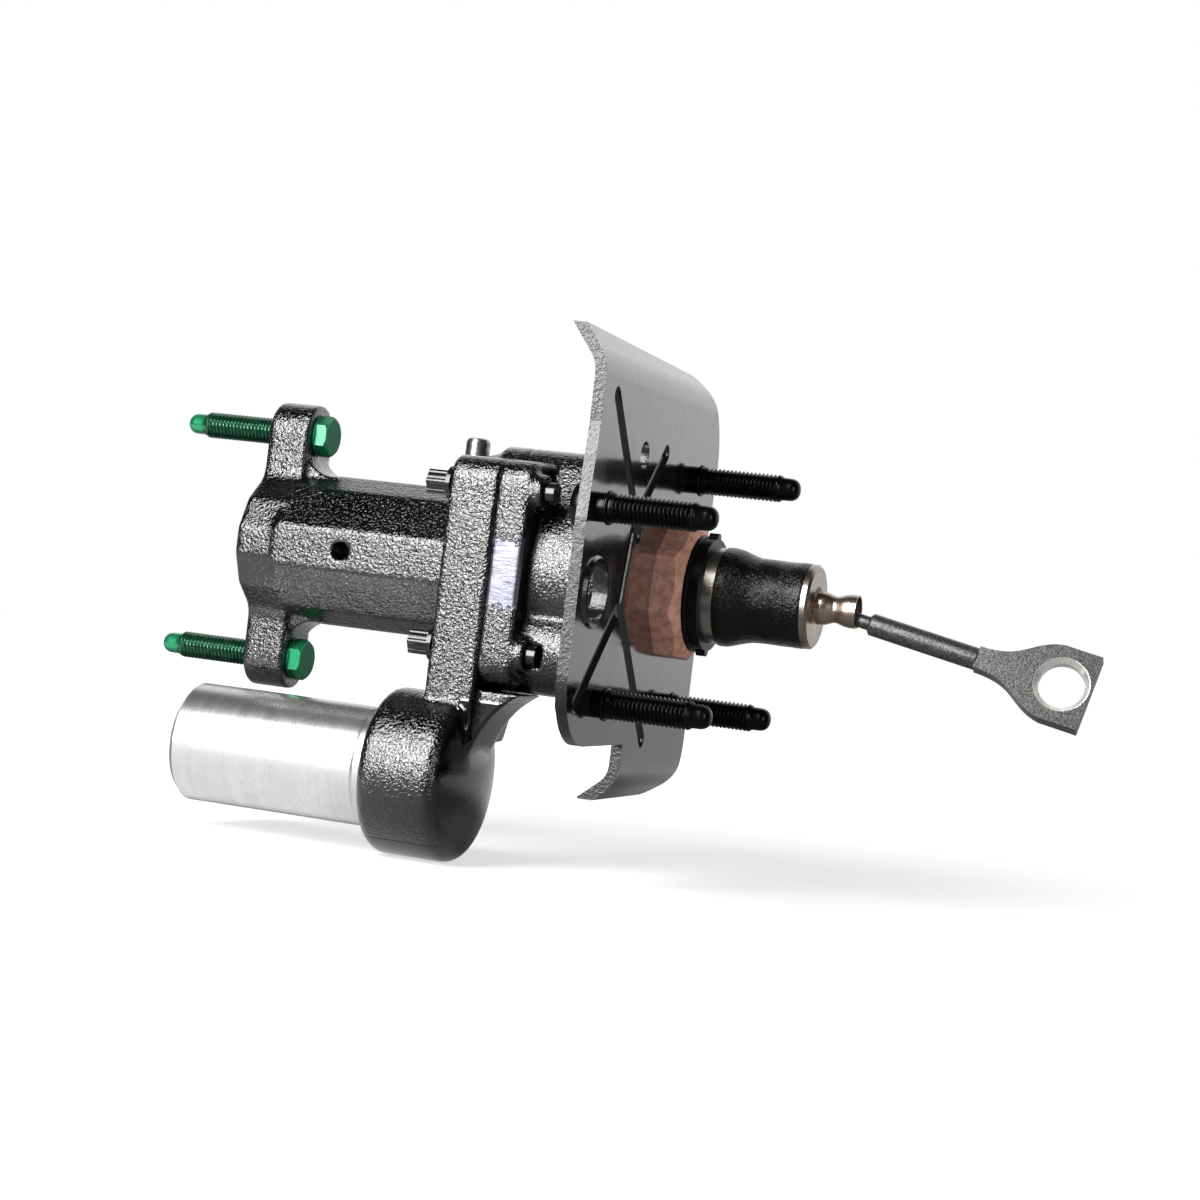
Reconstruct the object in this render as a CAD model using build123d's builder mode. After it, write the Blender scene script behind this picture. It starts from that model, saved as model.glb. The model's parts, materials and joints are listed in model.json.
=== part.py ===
"""Hydraulic brake booster: cover, housing, accumulator, firewall bracket and pedal rod.

Frame: +X runs along the booster axis to the pedal, +Z is up, and +Y completes the frame.
The origin lies on the booster axis, in the bracket's rear face, which meets the firewall.
All sizes are in millimetres.
"""

import os
from math import cos, radians, sin, sqrt, tan

from build123d import *

# Fits
RUN = 0.05  # radial clearance of a running fit
SEAT = 0.02  # radial clearance of a fixed fit
GAP = 0.3  # gap between parts that only pass each other

# Bracket plate and its edges, seen from the rear
PLATE_T = 4.0
PLATE_NEAR = -102.6
PLATE_FAR = 41.5
PLATE_TOP = 84.0
PLATE_TOP_FALL = 4.0
PLATE_STEP_Z = -56.0
TONGUE_NEAR = -36.0
TONGUE_END_Z = -77.0
CORNER_TOP_R = 33.0
CORNER_LOW_R = 22.0
CORNER_NEAR_R = 24.0
TOP_BEND_Z = 68.0
TOP_BEND_R = 14.0
TOP_BEND_DEG = 37.0
TOP_LIP = 9.0
LOW_BEND_Z = -64.0
LOW_BEND_R = 12.0
LOW_BEND_DEG = 50.0
LOW_LIP = 5.0
WINDOW_AT = (-86.2, -4.1)
WINDOW_R = 10.0
WINDOW_LIP_W = 2.4
WINDOW_LIP_H = 1.3
SMALL_HOLE_AT = (-49.2, 45.1)
SMALL_HOLE_R = 4.9

# Ribs pressed into the plate, as pairs of (Y, Z) ends
RIBS = [
    ((-86.0, 62.0), (-46.0, 17.5)),
    ((-24.5, 48.0), (-52.0, 22.0)),
    ((-52.0, 22.0), (-57.5, -7.5)),
    ((-92.0, -41.5), (-57.5, -7.5)),
    ((-57.5, -7.5), (-14.5, -54.5)),
]
RIB_GROOVE_R = 3.2
RIB_DEPTH = 2.4
RIB_WALL = 3.4

# Firewall studs, (Y, Z) of each
STUDS_AT = [(-92.9, 24.2), (8.4, 41.3), (-72.7, -41.1), (4.7, -42.6)]
STUD_R = 5.0
STUD_TIP_X = 41.7
STUD_POINT_R = 3.9
STUD_POINT_L = 4.2
STUD_HEAD_R = 8.0
STUD_HEAD_T = 3.5
COLLAR_R = 5.8
COLLAR_X = 3.6
COLLAR_T = 1.2

# Neck of the housing, nut, rings and boot
NECK_R = 17.5
NECK_THREAD_R = NECK_R + 2.5
NECK_END_X = 23.0
NUT_FLATS = 48.3
NUT_SIDES = 8
NUT_TURN_DEG = -18.2
NUT_T = 10.6
NUT_CHAMFER_R = 21.4
NUT_CHAMFER_X = 7.0
LOCK_RING_R = NECK_R + 3.7
LOCK_RING_T = 1.7
CLIP_RING_R = NECK_R + 2.9
CLIP_RING_T = 3.6
CLIP_EAR_R = 2.0
BOOT_MOUTH_X = 20.6
BOOT_MOUTH_WALL = 1.0
BOOT_MOUTH_R = NECK_R + BOOT_MOUTH_WALL
BOOT_WALL = 0.9
BOOT_BEAD_L = 4.0
BOOT_WAIST = 1.3
BOOT_NECK_X = 33.0

# Power piston and its bore
BORE_R = 19.0
BORE_REAR_X = -8.0
STROKE = 27.0
LAND_T = 11.5
REST_GAP = 0.6
SHANK_R = 13.5
BOOT_SLACK = 0.9
BOOT_BODY_R = SHANK_R + BOOT_SLACK + BOOT_WALL
HEAD_R = 15.2
HEAD_X = 52.3
PISTON_END_X = 55.0
HEAD_CHAMFER = 0.9
FRONT_SHANK_R = 11.0
FRONT_SHANK_X = -64.0
SEAL_W = 3.2
SEAL_DEPTH = 2.2
INPUT_SEAL_X = 5.0
INPUT_SEAL_W = 4.0
INPUT_SEAL_R = 16.0

# Output rod, its retainer and the return spring
OUT_ROD_R = 5.0
OUT_ROD_SOCKET_X = -52.0
OUT_ROD_TIP_X = -160.0
RETAINER_R = 17.3
RETAINER_T = 1.6
SPRING_R = 14.9
SPRING_WIRE_R = 1.3
SPRING_TURNS = 7

# Ball joint and pedal rod
BALL_X = 57.0
BALL_R = 4.1
BALL_SEAT_R = 4.95
BALL_SEAT_REAR = 1.4
BALL_SEAT_FRONT = 3.2
SLEEVE_R = 6.0
SLEEVE_WAIST_R = 4.75
SLEEVE_WAIST_X = 62.0
SLEEVE_FRONT_X = 48.0
SLEEVE_END_X = 70.2
SLEEVE_WALL = 0.65
DROOP_DEG = 11.3
ROLL_DEG = 20.0
ROD_R = 4.0
ROD_NECK_R = 2.5
ROD_START = 18.3
ROD_CHAMFER = 0.8
EYE_START = 58.5
EYE_FLARE = 86.0
EYE_AT = 89.5
EYE_END = 99.7
EYE_HALF_W = 14.0
EYE_T = 6.5
EYE_R = 8.1
EYE_CHAMFER = 1.6

# Joint between cover and housing, and the flanges beside it
JOINT_X = -56.0
COVER_FLANGE_T = 19.0
HOUSING_FLANGE_T = 12.7
FLANGE_HALF_W = 41.0
FLANGE_TOP = 40.0
FLANGE_LOW = -41.5
FLANGE_CORNER_R = 9.0
CAST_ROUND = 1.6

# Cover: barrel, nose and ears
NOSE_X = -163.0
BARREL_SIDE = 28.9
BARREL_SIDE_H = 7.6
BARREL_EDGE_Y = 16.4
BARREL_EDGE_Z = 22.6
BARREL_RIDGE_Y = 5.0
BARREL_TOP_Z = 28.3
BARREL_ROUND = 2.0
COVER_BORE_R = 18.0
SPRING_SEAT_X = -150.0
SPRING_SEAT_R = 14.0
PILOT_R = 19.0
PILOT_DEPTH = 10.0
EAR_T = 16.5
EAR_R = 11.6
EAR_ROOT_R = 7.0
GUSSET_L = 12.5
GUSSET_H = 6.0
GUSSET_HALF_W = 9.0
VENT_X = -119.8
VENT_R = 3.3

# Bolts for the master cylinder
FLANGE_BOLT_PITCH = 85.7
FLANGE_BOLT_R = 5.0
FLANGE_BOLT_SHANK_R = 5.2
FLANGE_BOLT_SHANK_OUT = 0.4
FLANGE_BOLT_HOLE_R = 5.3
FLANGE_BOLT_TIP_X = -202.3
FLANGE_BOLT_POINT_L = 8.0
FLANGE_BOLT_POINT_R = 3.9
FLANGE_BOLT_FLATS = 13.6
FLANGE_BOLT_HEAD_T = 5.6

# Bolts that hold the cover, (Y, Z) of each
COVER_BOLT_EDGE = 6.5
COVER_BOLT_Y = FLANGE_HALF_W - COVER_BOLT_EDGE
COVER_BOLTS_AT = [(-COVER_BOLT_Y, 29.0), (-COVER_BOLT_Y, -29.3), (COVER_BOLT_Y, 29.0), (COVER_BOLT_Y, -29.3),
                  (10.0, -35.8)]
COVER_BOLT_R = 4.0
COVER_BOLT_HEAD_R = 4.9
COVER_BOLT_WASHER_R = 6.2
COVER_BOLT_WASHER_T = 1.6
COVER_BOLT_HEAD_T = 8.0
COVER_BOLT_LOBES = 6
COVER_BOLT_LOBE_R = 1.2
COVER_BOLT_END = 3.5
COVER_BOLT_BOSS_R = 6.5
COVER_BOLT_BOSS_T = 4.0

# Accumulator lobe and canister
LOBE_AT = (-27.7, -77.0)
LOBE_R = 30.5
LOBE_FRONT_X = -91.0
LOBE_DOME_X = -65.0
LOBE_REAR_X = -55.0
LOBE_RIM_R = 4.0
# the domed rear is a rounded rim and a shallow ball face, tangent to each other
DOME_RIM_R = 6.0
DOME_DEPTH = LOBE_REAR_X - LOBE_DOME_X
DOME_R = (DOME_DEPTH ** 2 + (LOBE_R - DOME_RIM_R) ** 2 - DOME_RIM_R ** 2) / (2 * (DOME_DEPTH - DOME_RIM_R))
DOME_REACH = DOME_RIM_R / (DOME_R - DOME_RIM_R)
DOME_RIM_END = (LOBE_DOME_X + DOME_REACH * (DOME_R - DOME_DEPTH), (LOBE_R - DOME_RIM_R) * (1 + DOME_REACH))
LOBE_BORE_END_X = -63.0
NECK_WEB_FAR = -4.0
WEB_NEAR_Y = -38.0
WEB_FAR_Y = -14.0
WEB_END_X = -39.0
CANISTER_R = 22.0
CANISTER_FRONT_X = -170.0
CANISTER_WALL = 3.0
CANISTER_REAR_X = -66.0
CANISTER_BAND_X = -96.5
CANISTER_BAND_STEP = 0.3
CANISTER_ROUND = 2.0
GAS_PISTON_X = -120.0
GAS_PISTON_L = 16.0
GAS_STROKE = 34.0
SNAP_RING_T = 1.5
SNAP_RING_W = 1.4

# Housing
BODY_R = 34.0
BODY_CONE_X = -20.0
SHOULDER_R = 26.5
GALLERY_AT = (-20.0, -27.5)
GALLERY_R = 16.0
GALLERY_END_X = -12.0

# Spool valve, lever and plug
SPOOL_AT = (-6.0, 33.0)
SPOOL_BORE_R = 6.5
SPOOL_BOSS_R = 13.0
SPOOL_BOSS_REAR_X = -8.0
SPOOL_BOSS_STEP_X = -66.0
SPOOL_BORE_REAR_X = -14.0
SPOOL_FRONT_X = -55.0
SPOOL_REAR_X = -20.0
SPOOL_STROKE = 1.2
SPOOL_GROOVE_R = 3.2
SPOOL_WAIST_R = 4.6
SPOOL_SPRING_R = 4.6
SPOOL_SPRING_WIRE_R = 0.5
SPOOL_SPRING_TURNS = 4
PLUG_R = 7.4
PLUG_BOSS_R = 9.2
PLUG_SEAT_X = -62.0
PLUG_FRONT_X = -71.5
PLUG_HEX_FLATS = 8.0
PLUG_HEX_DEPTH = 5.0
PLUG_WAY_L = 11.0
LEVER_X = -51.5
LEVER_PIVOT_Z = 22.7
LEVER_TIP_Z = 27.6
LEVER_TIP_R = 1.9
LEVER_LOW_Z = 16.0
LEVER_T = 3.0
LEVER_W = 4.4
LEVER_PIN_R = 1.5
LEVER_SLOT_W = 7.0
LEVER_SLOT_L = 8.0

# Hydraulic ports
PORT_X = -27.0
PRESSURE_PORT_Z = 33.0
GEAR_PORT_Z = 5.0
PORT_FACE_Y = FLANGE_HALF_W
PORT_BOSS_R = 11.5
PRESSURE_PORT_R = 8.2
GEAR_PORT_R = 7.2
PORT_DEPTH = 11.0
TUBE_SEAT_R = 5.0
TUBE_SEAT_BORE_R = 2.0
TUBE_SEAT_L = 4.0
TUBE_SEAT_SUNK = 0.3
NIPPLE_AT = (-85.6, 10.0)
NIPPLE_R = 4.6
NIPPLE_ROOT_R = 5.0
NIPPLE_BORE_R = 3.0
NIPPLE_TOP_Z = 48.6
NIPPLE_ROUND = 1.6
NIPPLE_BOSS_R = 7.4
NIPPLE_BOSS_Z = 32.0

# Seals in the cover joint
SEAL_RING_R = 21.0
SEAL_RING_WIRE_R = 1.0
SPOOL_RING_R = 8.8

# Places worked out from the sizes above
COVER_FRONT_X = JOINT_X - COVER_FLANGE_T
HOUSING_REAR_X = JOINT_X + HOUSING_FLANGE_T
EAR_REAR_X = NOSE_X + EAR_T
EAR_Z = FLANGE_BOLT_PITCH / 2
LAND_REAR_X = BORE_REAR_X - REST_GAP
LAND_FRONT_X = LAND_REAR_X - LAND_T
RETAINER_X = FRONT_SHANK_X - RETAINER_T
LOCK_RING_X = NUT_T
CLIP_RING_X = NUT_T + LOCK_RING_T + 0.2
MAIN_AXIS = Axis((0, 0, 0), (1, 0, 0))


def half_section(outline, at=(0, 0)):
    """Closed half section of a turned piece, from (X, radius) points about an axis at (Y, Z)."""
    with BuildSketch(Plane(origin=(0, *at), x_dir=(1, 0, 0), z_dir=(0, 0, 1))) as section:
        with BuildLine():
            Polyline(*outline, close=True)
        make_face()
    return section.sketch


def axis_at(at):
    """The line along X through (Y, Z)."""
    return Axis((0, *at), (1, 0, 0))


def ring(x, width, inner_r, outer_r, at=(0, 0)):
    """Half section of a plain ring."""
    return half_section([(x, inner_r), (x + width, inner_r), (x + width, outer_r), (x, outer_r)], at)


def flange_outline(low):
    """Rounded outline that cover and housing share at their joint."""
    with BuildSketch(Plane.YZ) as outline:
        with Locations((0, (FLANGE_TOP + low) / 2)):
            RectangleRounded(2 * FLANGE_HALF_W, FLANGE_TOP - low, FLANGE_CORNER_R)
    return outline.sketch


def barrel_outline():
    """Barrel section: flat sides, slanted facets and a shallow ridge above and below."""
    corners = [(BARREL_SIDE, BARREL_SIDE_H), (BARREL_EDGE_Y, BARREL_EDGE_Z), (BARREL_RIDGE_Y, BARREL_TOP_Z)]
    upper = corners + [(-y, z) for y, z in reversed(corners)]
    with BuildSketch(Plane.YZ) as outline:
        with BuildLine():
            Polyline(*upper, *[(y, -z) for y, z in reversed(upper)], close=True)
        make_face()
        fillet(outline.vertices(), radius=BARREL_ROUND)
    return outline.sketch


def ear_outline():
    """Outline of the nose with its two ears."""
    with BuildSketch(Plane.YZ) as outline:
        add(barrel_outline())
        Rectangle(2 * EAR_R, FLANGE_BOLT_PITCH)
        fillet(
            outline.vertices().filter_by(
                lambda corner: abs(abs(corner.X) - EAR_R) < 0.01 and abs(corner.Y) < EAR_Z - 1),
            radius=EAR_ROOT_R,
        )
        with Locations((0, EAR_Z), (0, -EAR_Z)):
            Circle(EAR_R)
    return outline.sketch


# Cover casting
with BuildPart() as cover_casting:
    # flange at the joint
    extrude(flange_outline(FLANGE_LOW).moved(Location((COVER_FRONT_X, 0, 0))), amount=COVER_FLANGE_T)
    fillet(cover_casting.edges().filter_by(Plane.YZ).group_by(Axis.X)[0], radius=CAST_ROUND)
    # barrel, and the nose with two ears
    extrude(ear_outline().moved(Location((NOSE_X, 0, 0))), amount=EAR_T)
    fillet(cover_casting.edges().filter_by(Plane.YZ).group_by(Axis.X)[0], radius=CAST_ROUND)
    extrude(barrel_outline().moved(Location((EAR_REAR_X - 1, 0, 0))), amount=COVER_FRONT_X - EAR_REAR_X + 2)
    # a gusset behind each ear
    for side in (1, -1):
        with BuildSketch(Plane.XZ):
            with BuildLine():
                Polyline(
                    (EAR_REAR_X + GUSSET_L, side * (BARREL_TOP_Z - 0.3)), (EAR_REAR_X + GUSSET_L, side * (BARREL_TOP_Z - 6)),
                    (EAR_REAR_X - 1, side * (BARREL_TOP_Z - 6)), (EAR_REAR_X - 1, side * (BARREL_TOP_Z + GUSSET_H)),
                    (EAR_REAR_X, side * (BARREL_TOP_Z + GUSSET_H)),
                )
                ThreePointArc(
                    (EAR_REAR_X, side * (BARREL_TOP_Z + GUSSET_H)),
                    (EAR_REAR_X + 0.28 * GUSSET_L, side * (BARREL_TOP_Z + 0.28 * GUSSET_H)),
                    (EAR_REAR_X + GUSSET_L, side * (BARREL_TOP_Z - 0.3)),
                )
            make_face()
        extrude(amount=GUSSET_HALF_W, both=True)
    # boss for the spool plug
    revolve(half_section([
        (COVER_FRONT_X, 0), (JOINT_X, 0), (JOINT_X, SPOOL_BOSS_R), (SPOOL_BOSS_STEP_X, SPOOL_BOSS_R),
        (SPOOL_BOSS_STEP_X - 2.5, PLUG_BOSS_R + 1.4), (COVER_FRONT_X + 3, PLUG_BOSS_R),
        (COVER_FRONT_X, PLUG_BOSS_R - 0.6),
    ], SPOOL_AT), axis=axis_at(SPOOL_AT))
    # boss for the return nipple
    with BuildSketch(Plane.XY):
        with Locations(NIPPLE_AT):
            Circle(NIPPLE_BOSS_R)
    extrude(amount=NIPPLE_BOSS_Z)
    # accumulator lobe with its domed rear
    with BuildSketch(Plane(origin=(0, *LOBE_AT), x_dir=(1, 0, 0), z_dir=(0, 0, 1))):
        with BuildLine():
            Polyline((LOBE_REAR_X, 0), (LOBE_FRONT_X, 0), (LOBE_FRONT_X, LOBE_R - LOBE_RIM_R))
            RadiusArc((LOBE_FRONT_X, LOBE_R - LOBE_RIM_R), (LOBE_FRONT_X + LOBE_RIM_R, LOBE_R), LOBE_RIM_R)
            Line((LOBE_FRONT_X + LOBE_RIM_R, LOBE_R), (LOBE_DOME_X, LOBE_R))
            RadiusArc((LOBE_DOME_X, LOBE_R), DOME_RIM_END, DOME_RIM_R)
            RadiusArc(DOME_RIM_END, (LOBE_REAR_X, 0), DOME_R)
        make_face()
    revolve(axis=axis_at(LOBE_AT))
    # neck from the flange down to the lobe
    with BuildSketch(Plane.YZ.offset(COVER_FRONT_X)):
        with BuildLine():
            Polyline(
                (-FLANGE_HALF_W, FLANGE_LOW + FLANGE_CORNER_R), (NECK_WEB_FAR + 12, FLANGE_LOW + FLANGE_CORNER_R),
                (NECK_WEB_FAR + 12, FLANGE_LOW), (NECK_WEB_FAR, LOBE_AT[1] + 14),
                (-FLANGE_HALF_W, LOBE_AT[1] + 14), close=True,
            )
        make_face()
    extrude(amount=COVER_FLANGE_T)
    # web behind the lobe, below the housing
    with BuildSketch(Plane.XZ.offset(-WEB_NEAR_Y)):
        with BuildLine():
            Polyline((LOBE_REAR_X - 1, LOBE_AT[1] + 12), (JOINT_X - 2, LOBE_AT[1] + 12),
                     (JOINT_X - 2, FLANGE_LOW - 2), (WEB_END_X, FLANGE_LOW - 2))
            ThreePointArc((WEB_END_X, FLANGE_LOW - 2), (WEB_END_X - 8, FLANGE_LOW - 8),
                          (LOBE_REAR_X - 1, LOBE_AT[1] + 12))
        make_face()
    extrude(amount=WEB_NEAR_Y - WEB_FAR_Y)
    # pilot, spring seat and bore
    revolve(half_section([
        (NOSE_X - 1, 0), (JOINT_X + 1, 0), (JOINT_X + 1, COVER_BORE_R), (SPRING_SEAT_X, COVER_BORE_R),
        (SPRING_SEAT_X, SPRING_SEAT_R), (NOSE_X + PILOT_DEPTH, SPRING_SEAT_R),
        (NOSE_X + PILOT_DEPTH, PILOT_R), (NOSE_X - 1, PILOT_R),
    ]), axis=MAIN_AXIS, mode=Mode.SUBTRACT)
    # bore of the lobe, with the groove for the snap ring
    revolve(half_section([
        (LOBE_FRONT_X - 1, 0), (LOBE_BORE_END_X, 0), (LOBE_BORE_END_X, CANISTER_R + SEAT),
        (LOBE_FRONT_X - 1, CANISTER_R + SEAT),
    ], LOBE_AT), axis=axis_at(LOBE_AT), mode=Mode.SUBTRACT)
    revolve(ring(LOBE_FRONT_X + 2, SNAP_RING_T + 2 * SEAT, CANISTER_R, CANISTER_R + SNAP_RING_W + SEAT,
                 LOBE_AT), axis=axis_at(LOBE_AT), mode=Mode.SUBTRACT)
    # spool spring bore, plug thread, snap ring groove and the way in past the barrel
    revolve(half_section([
        (COVER_FRONT_X - PLUG_WAY_L, 0), (JOINT_X + 1, 0), (JOINT_X + 1, SPOOL_BORE_R + 0.5),
        (PLUG_SEAT_X, SPOOL_BORE_R + 0.5), (PLUG_SEAT_X, PLUG_R + SEAT),
        (PLUG_FRONT_X, PLUG_R + SEAT), (PLUG_FRONT_X, PLUG_R + SNAP_RING_W / 2),
        (PLUG_FRONT_X - SNAP_RING_T - 2 * SEAT, PLUG_R + SNAP_RING_W / 2),
        (PLUG_FRONT_X - SNAP_RING_T - 2 * SEAT, PLUG_R + SEAT), (COVER_FRONT_X - PLUG_WAY_L, PLUG_R + SEAT),
    ], SPOOL_AT), axis=axis_at(SPOOL_AT), mode=Mode.SUBTRACT)
    # grooves for the joint seals
    for at, radius in (((0, 0), SEAL_RING_R), (SPOOL_AT, SPOOL_RING_R)):
        revolve(ring(JOINT_X - 2 * SEAL_RING_WIRE_R, 2 * SEAL_RING_WIRE_R + 1, radius - SEAL_RING_WIRE_R - SEAT,
                     radius + SEAL_RING_WIRE_R + SEAT, at), axis=axis_at(at), mode=Mode.SUBTRACT)
    # vent, nipple hole and bolt holes
    with BuildSketch(Plane.XZ):
        with Locations((VENT_X, 0)):
            Circle(VENT_R)
    extrude(amount=BARREL_SIDE + 1, mode=Mode.SUBTRACT)
    with BuildSketch(Plane.XY):
        with Locations(NIPPLE_AT):
            Circle(NIPPLE_ROOT_R + SEAT)
    extrude(amount=NIPPLE_BOSS_Z + 1, mode=Mode.SUBTRACT)
    with BuildSketch(Plane.YZ.offset(NOSE_X - 1)):
        with Locations((0, EAR_Z), (0, -EAR_Z)):
            Circle(FLANGE_BOLT_HOLE_R)
    extrude(amount=EAR_T + 2, mode=Mode.SUBTRACT)
    with BuildSketch(Plane.YZ.offset(COVER_FRONT_X - 1)):
        with Locations(*COVER_BOLTS_AT):
            Circle(COVER_BOLT_R + SEAT)
    extrude(amount=COVER_FLANGE_T + 2, mode=Mode.SUBTRACT)

# Housing casting
with BuildPart() as housing_casting:
    extrude(flange_outline(FLANGE_LOW).moved(Location((JOINT_X, 0, 0))), amount=HOUSING_FLANGE_T)
    fillet(
        housing_casting.edges().filter_by(Plane.YZ).group_by(Axis.X)[-1], radius=CAST_ROUND
    )
    # body and spool boss in one outline, then the cone down to the bracket
    with BuildSketch(Plane.YZ.offset(JOINT_X)):
        Circle(BODY_R)
        with Locations(SPOOL_AT):
            Circle(SPOOL_BOSS_R)
        make_hull()
    extrude(amount=BODY_CONE_X - JOINT_X)
    revolve(half_section([
        (BODY_CONE_X, 0), (-PLATE_T, 0), (-PLATE_T, SHOULDER_R), (BODY_CONE_X, BODY_R),
    ]), axis=MAIN_AXIS)
    revolve(half_section([
        (BODY_CONE_X, 0), (SPOOL_BOSS_REAR_X, 0), (SPOOL_BOSS_REAR_X, SPOOL_BOSS_R - 3),
        (SPOOL_BOSS_REAR_X - 3, SPOOL_BOSS_R), (BODY_CONE_X, SPOOL_BOSS_R),
    ], SPOOL_AT), axis=axis_at(SPOOL_AT))
    # gallery below the body
    revolve(half_section([
        (JOINT_X, 0), (GALLERY_END_X, 0), (GALLERY_END_X, GALLERY_R - 4),
        (GALLERY_END_X - 4, GALLERY_R), (JOINT_X, GALLERY_R),
    ], GALLERY_AT), axis=axis_at(GALLERY_AT))
    # bosses behind the cover bolts
    with BuildSketch(Plane.YZ.offset(HOUSING_REAR_X - 1)):
        with Locations(*COVER_BOLTS_AT):
            Circle(COVER_BOLT_BOSS_R)
    extrude(amount=COVER_BOLT_BOSS_T + 1)
    # port bosses on the far side
    with BuildSketch(Plane.XZ):
        with Locations((PORT_X, PRESSURE_PORT_Z), (PORT_X, GEAR_PORT_Z)):
            Circle(PORT_BOSS_R)
    extrude(amount=-PORT_FACE_Y)
    # machined neck
    revolve(half_section([
        (-PLATE_T, 0), (NECK_END_X, 0), (NECK_END_X, NECK_R), (NUT_T, NECK_R),
        (NUT_T, NECK_THREAD_R), (-PLATE_T, NECK_THREAD_R),
    ]), axis=MAIN_AXIS)
    # piston bore, neck bore and the groove of the input seal
    revolve(half_section([
        (JOINT_X - 1, 0), (NECK_END_X + 1, 0), (NECK_END_X + 1, SHANK_R + RUN),
        (INPUT_SEAL_X + INPUT_SEAL_W, SHANK_R + RUN), (INPUT_SEAL_X + INPUT_SEAL_W, INPUT_SEAL_R),
        (INPUT_SEAL_X, INPUT_SEAL_R), (INPUT_SEAL_X, SHANK_R + RUN), (BORE_REAR_X, SHANK_R + RUN),
        (BORE_REAR_X, BORE_R), (JOINT_X - 1, BORE_R),
    ]), axis=MAIN_AXIS, mode=Mode.SUBTRACT)
    # spool bore, lever slot and the lever pin's hole
    revolve(ring(JOINT_X - 1, SPOOL_BORE_REAR_X - JOINT_X + 1, 0, SPOOL_BORE_R, SPOOL_AT),
            axis=axis_at(SPOOL_AT), mode=Mode.SUBTRACT)
    with BuildSketch(Plane.XY.offset(BORE_R - 6)):
        with Locations((LEVER_X, SPOOL_AT[0])):
            Rectangle(LEVER_SLOT_L, LEVER_SLOT_W)
    extrude(amount=SPOOL_AT[1] - BORE_R + 6, mode=Mode.SUBTRACT)
    with BuildSketch(Plane.XZ.offset(-SPOOL_AT[0] - LEVER_SLOT_W)):
        with Locations((LEVER_X, LEVER_PIVOT_Z)):
            Circle(LEVER_PIN_R + SEAT)
    extrude(amount=2 * LEVER_SLOT_W, mode=Mode.SUBTRACT)
    # ports
    for port_z, port_r in ((PRESSURE_PORT_Z, PRESSURE_PORT_R), (GEAR_PORT_Z, GEAR_PORT_R)):
        with BuildSketch(Plane.XZ.offset(-PORT_FACE_Y)):
            with Locations((PORT_X, port_z)):
                Circle(port_r)
        extrude(amount=PORT_DEPTH, mode=Mode.SUBTRACT)
        with BuildSketch(Plane.XZ.offset(PORT_DEPTH - PORT_FACE_Y)):
            with Locations((PORT_X, port_z)):
                Circle(TUBE_SEAT_R + SEAT)
        extrude(amount=TUBE_SEAT_L + TUBE_SEAT_SUNK, mode=Mode.SUBTRACT)
    # bolt holes
    with BuildSketch(Plane.YZ.offset(JOINT_X - 1)):
        with Locations(*COVER_BOLTS_AT):
            Circle(COVER_BOLT_R + SEAT)
    extrude(amount=HOUSING_FLANGE_T + COVER_BOLT_BOSS_T + COVER_BOLT_END + 2, mode=Mode.SUBTRACT)

# Round seals in the face of the cover
with BuildPart() as cover_seals:
    for at, radius in (((0, 0), SEAL_RING_R), (SPOOL_AT, SPOOL_RING_R)):
        with BuildSketch(Plane(origin=(0, *at), x_dir=(1, 0, 0), z_dir=(0, 0, 1))):
            with Locations((JOINT_X - SEAL_RING_WIRE_R, radius)):
                Circle(SEAL_RING_WIRE_R)
        revolve(axis=axis_at(at))

# Bolts that hold the cover, with lobed heads
with BuildPart() as cover_bolts:
    washer_x = COVER_FRONT_X - COVER_BOLT_WASHER_T
    with BuildSketch(Plane.YZ.offset(washer_x)):
        with Locations(*COVER_BOLTS_AT):
            Circle(COVER_BOLT_WASHER_R)
    extrude(amount=COVER_BOLT_WASHER_T)
    with BuildSketch(Plane.YZ.offset(washer_x)):
        with Locations(*COVER_BOLTS_AT):
            Circle(COVER_BOLT_HEAD_R - COVER_BOLT_LOBE_R / 2)
            with PolarLocations(COVER_BOLT_HEAD_R - COVER_BOLT_LOBE_R, COVER_BOLT_LOBES):
                Circle(COVER_BOLT_LOBE_R)
    extrude(amount=-COVER_BOLT_HEAD_T)
    with BuildSketch(Plane.YZ.offset(COVER_FRONT_X)):
        with Locations(*COVER_BOLTS_AT):
            Circle(COVER_BOLT_R)
    extrude(amount=HOUSING_REAR_X + COVER_BOLT_BOSS_T + COVER_BOLT_END - COVER_FRONT_X)

# Accumulator canister, turned from bar
with BuildPart() as accumulator_canister:
    band_r = CANISTER_R - CANISTER_BAND_STEP
    revolve(half_section([
        (CANISTER_FRONT_X, 0), (CANISTER_FRONT_X, CANISTER_R - CANISTER_ROUND),
        (CANISTER_FRONT_X + CANISTER_ROUND, CANISTER_R), (CANISTER_BAND_X, CANISTER_R),
        (CANISTER_BAND_X + 1, band_r), (LOBE_FRONT_X - 1, band_r), (LOBE_FRONT_X - 1, CANISTER_R),
        (CANISTER_REAR_X, CANISTER_R), (CANISTER_REAR_X, CANISTER_R - CANISTER_WALL),
        (CANISTER_FRONT_X + 2 * CANISTER_WALL, CANISTER_R - CANISTER_WALL),
        (CANISTER_FRONT_X + 2 * CANISTER_WALL, 0),
    ], LOBE_AT), axis=axis_at(LOBE_AT))
    revolve(ring(LOBE_FRONT_X + 2, SNAP_RING_T + 2 * SEAT, CANISTER_R - SNAP_RING_W, CANISTER_R + 1, LOBE_AT),
            axis=axis_at(LOBE_AT), mode=Mode.SUBTRACT)

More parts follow.
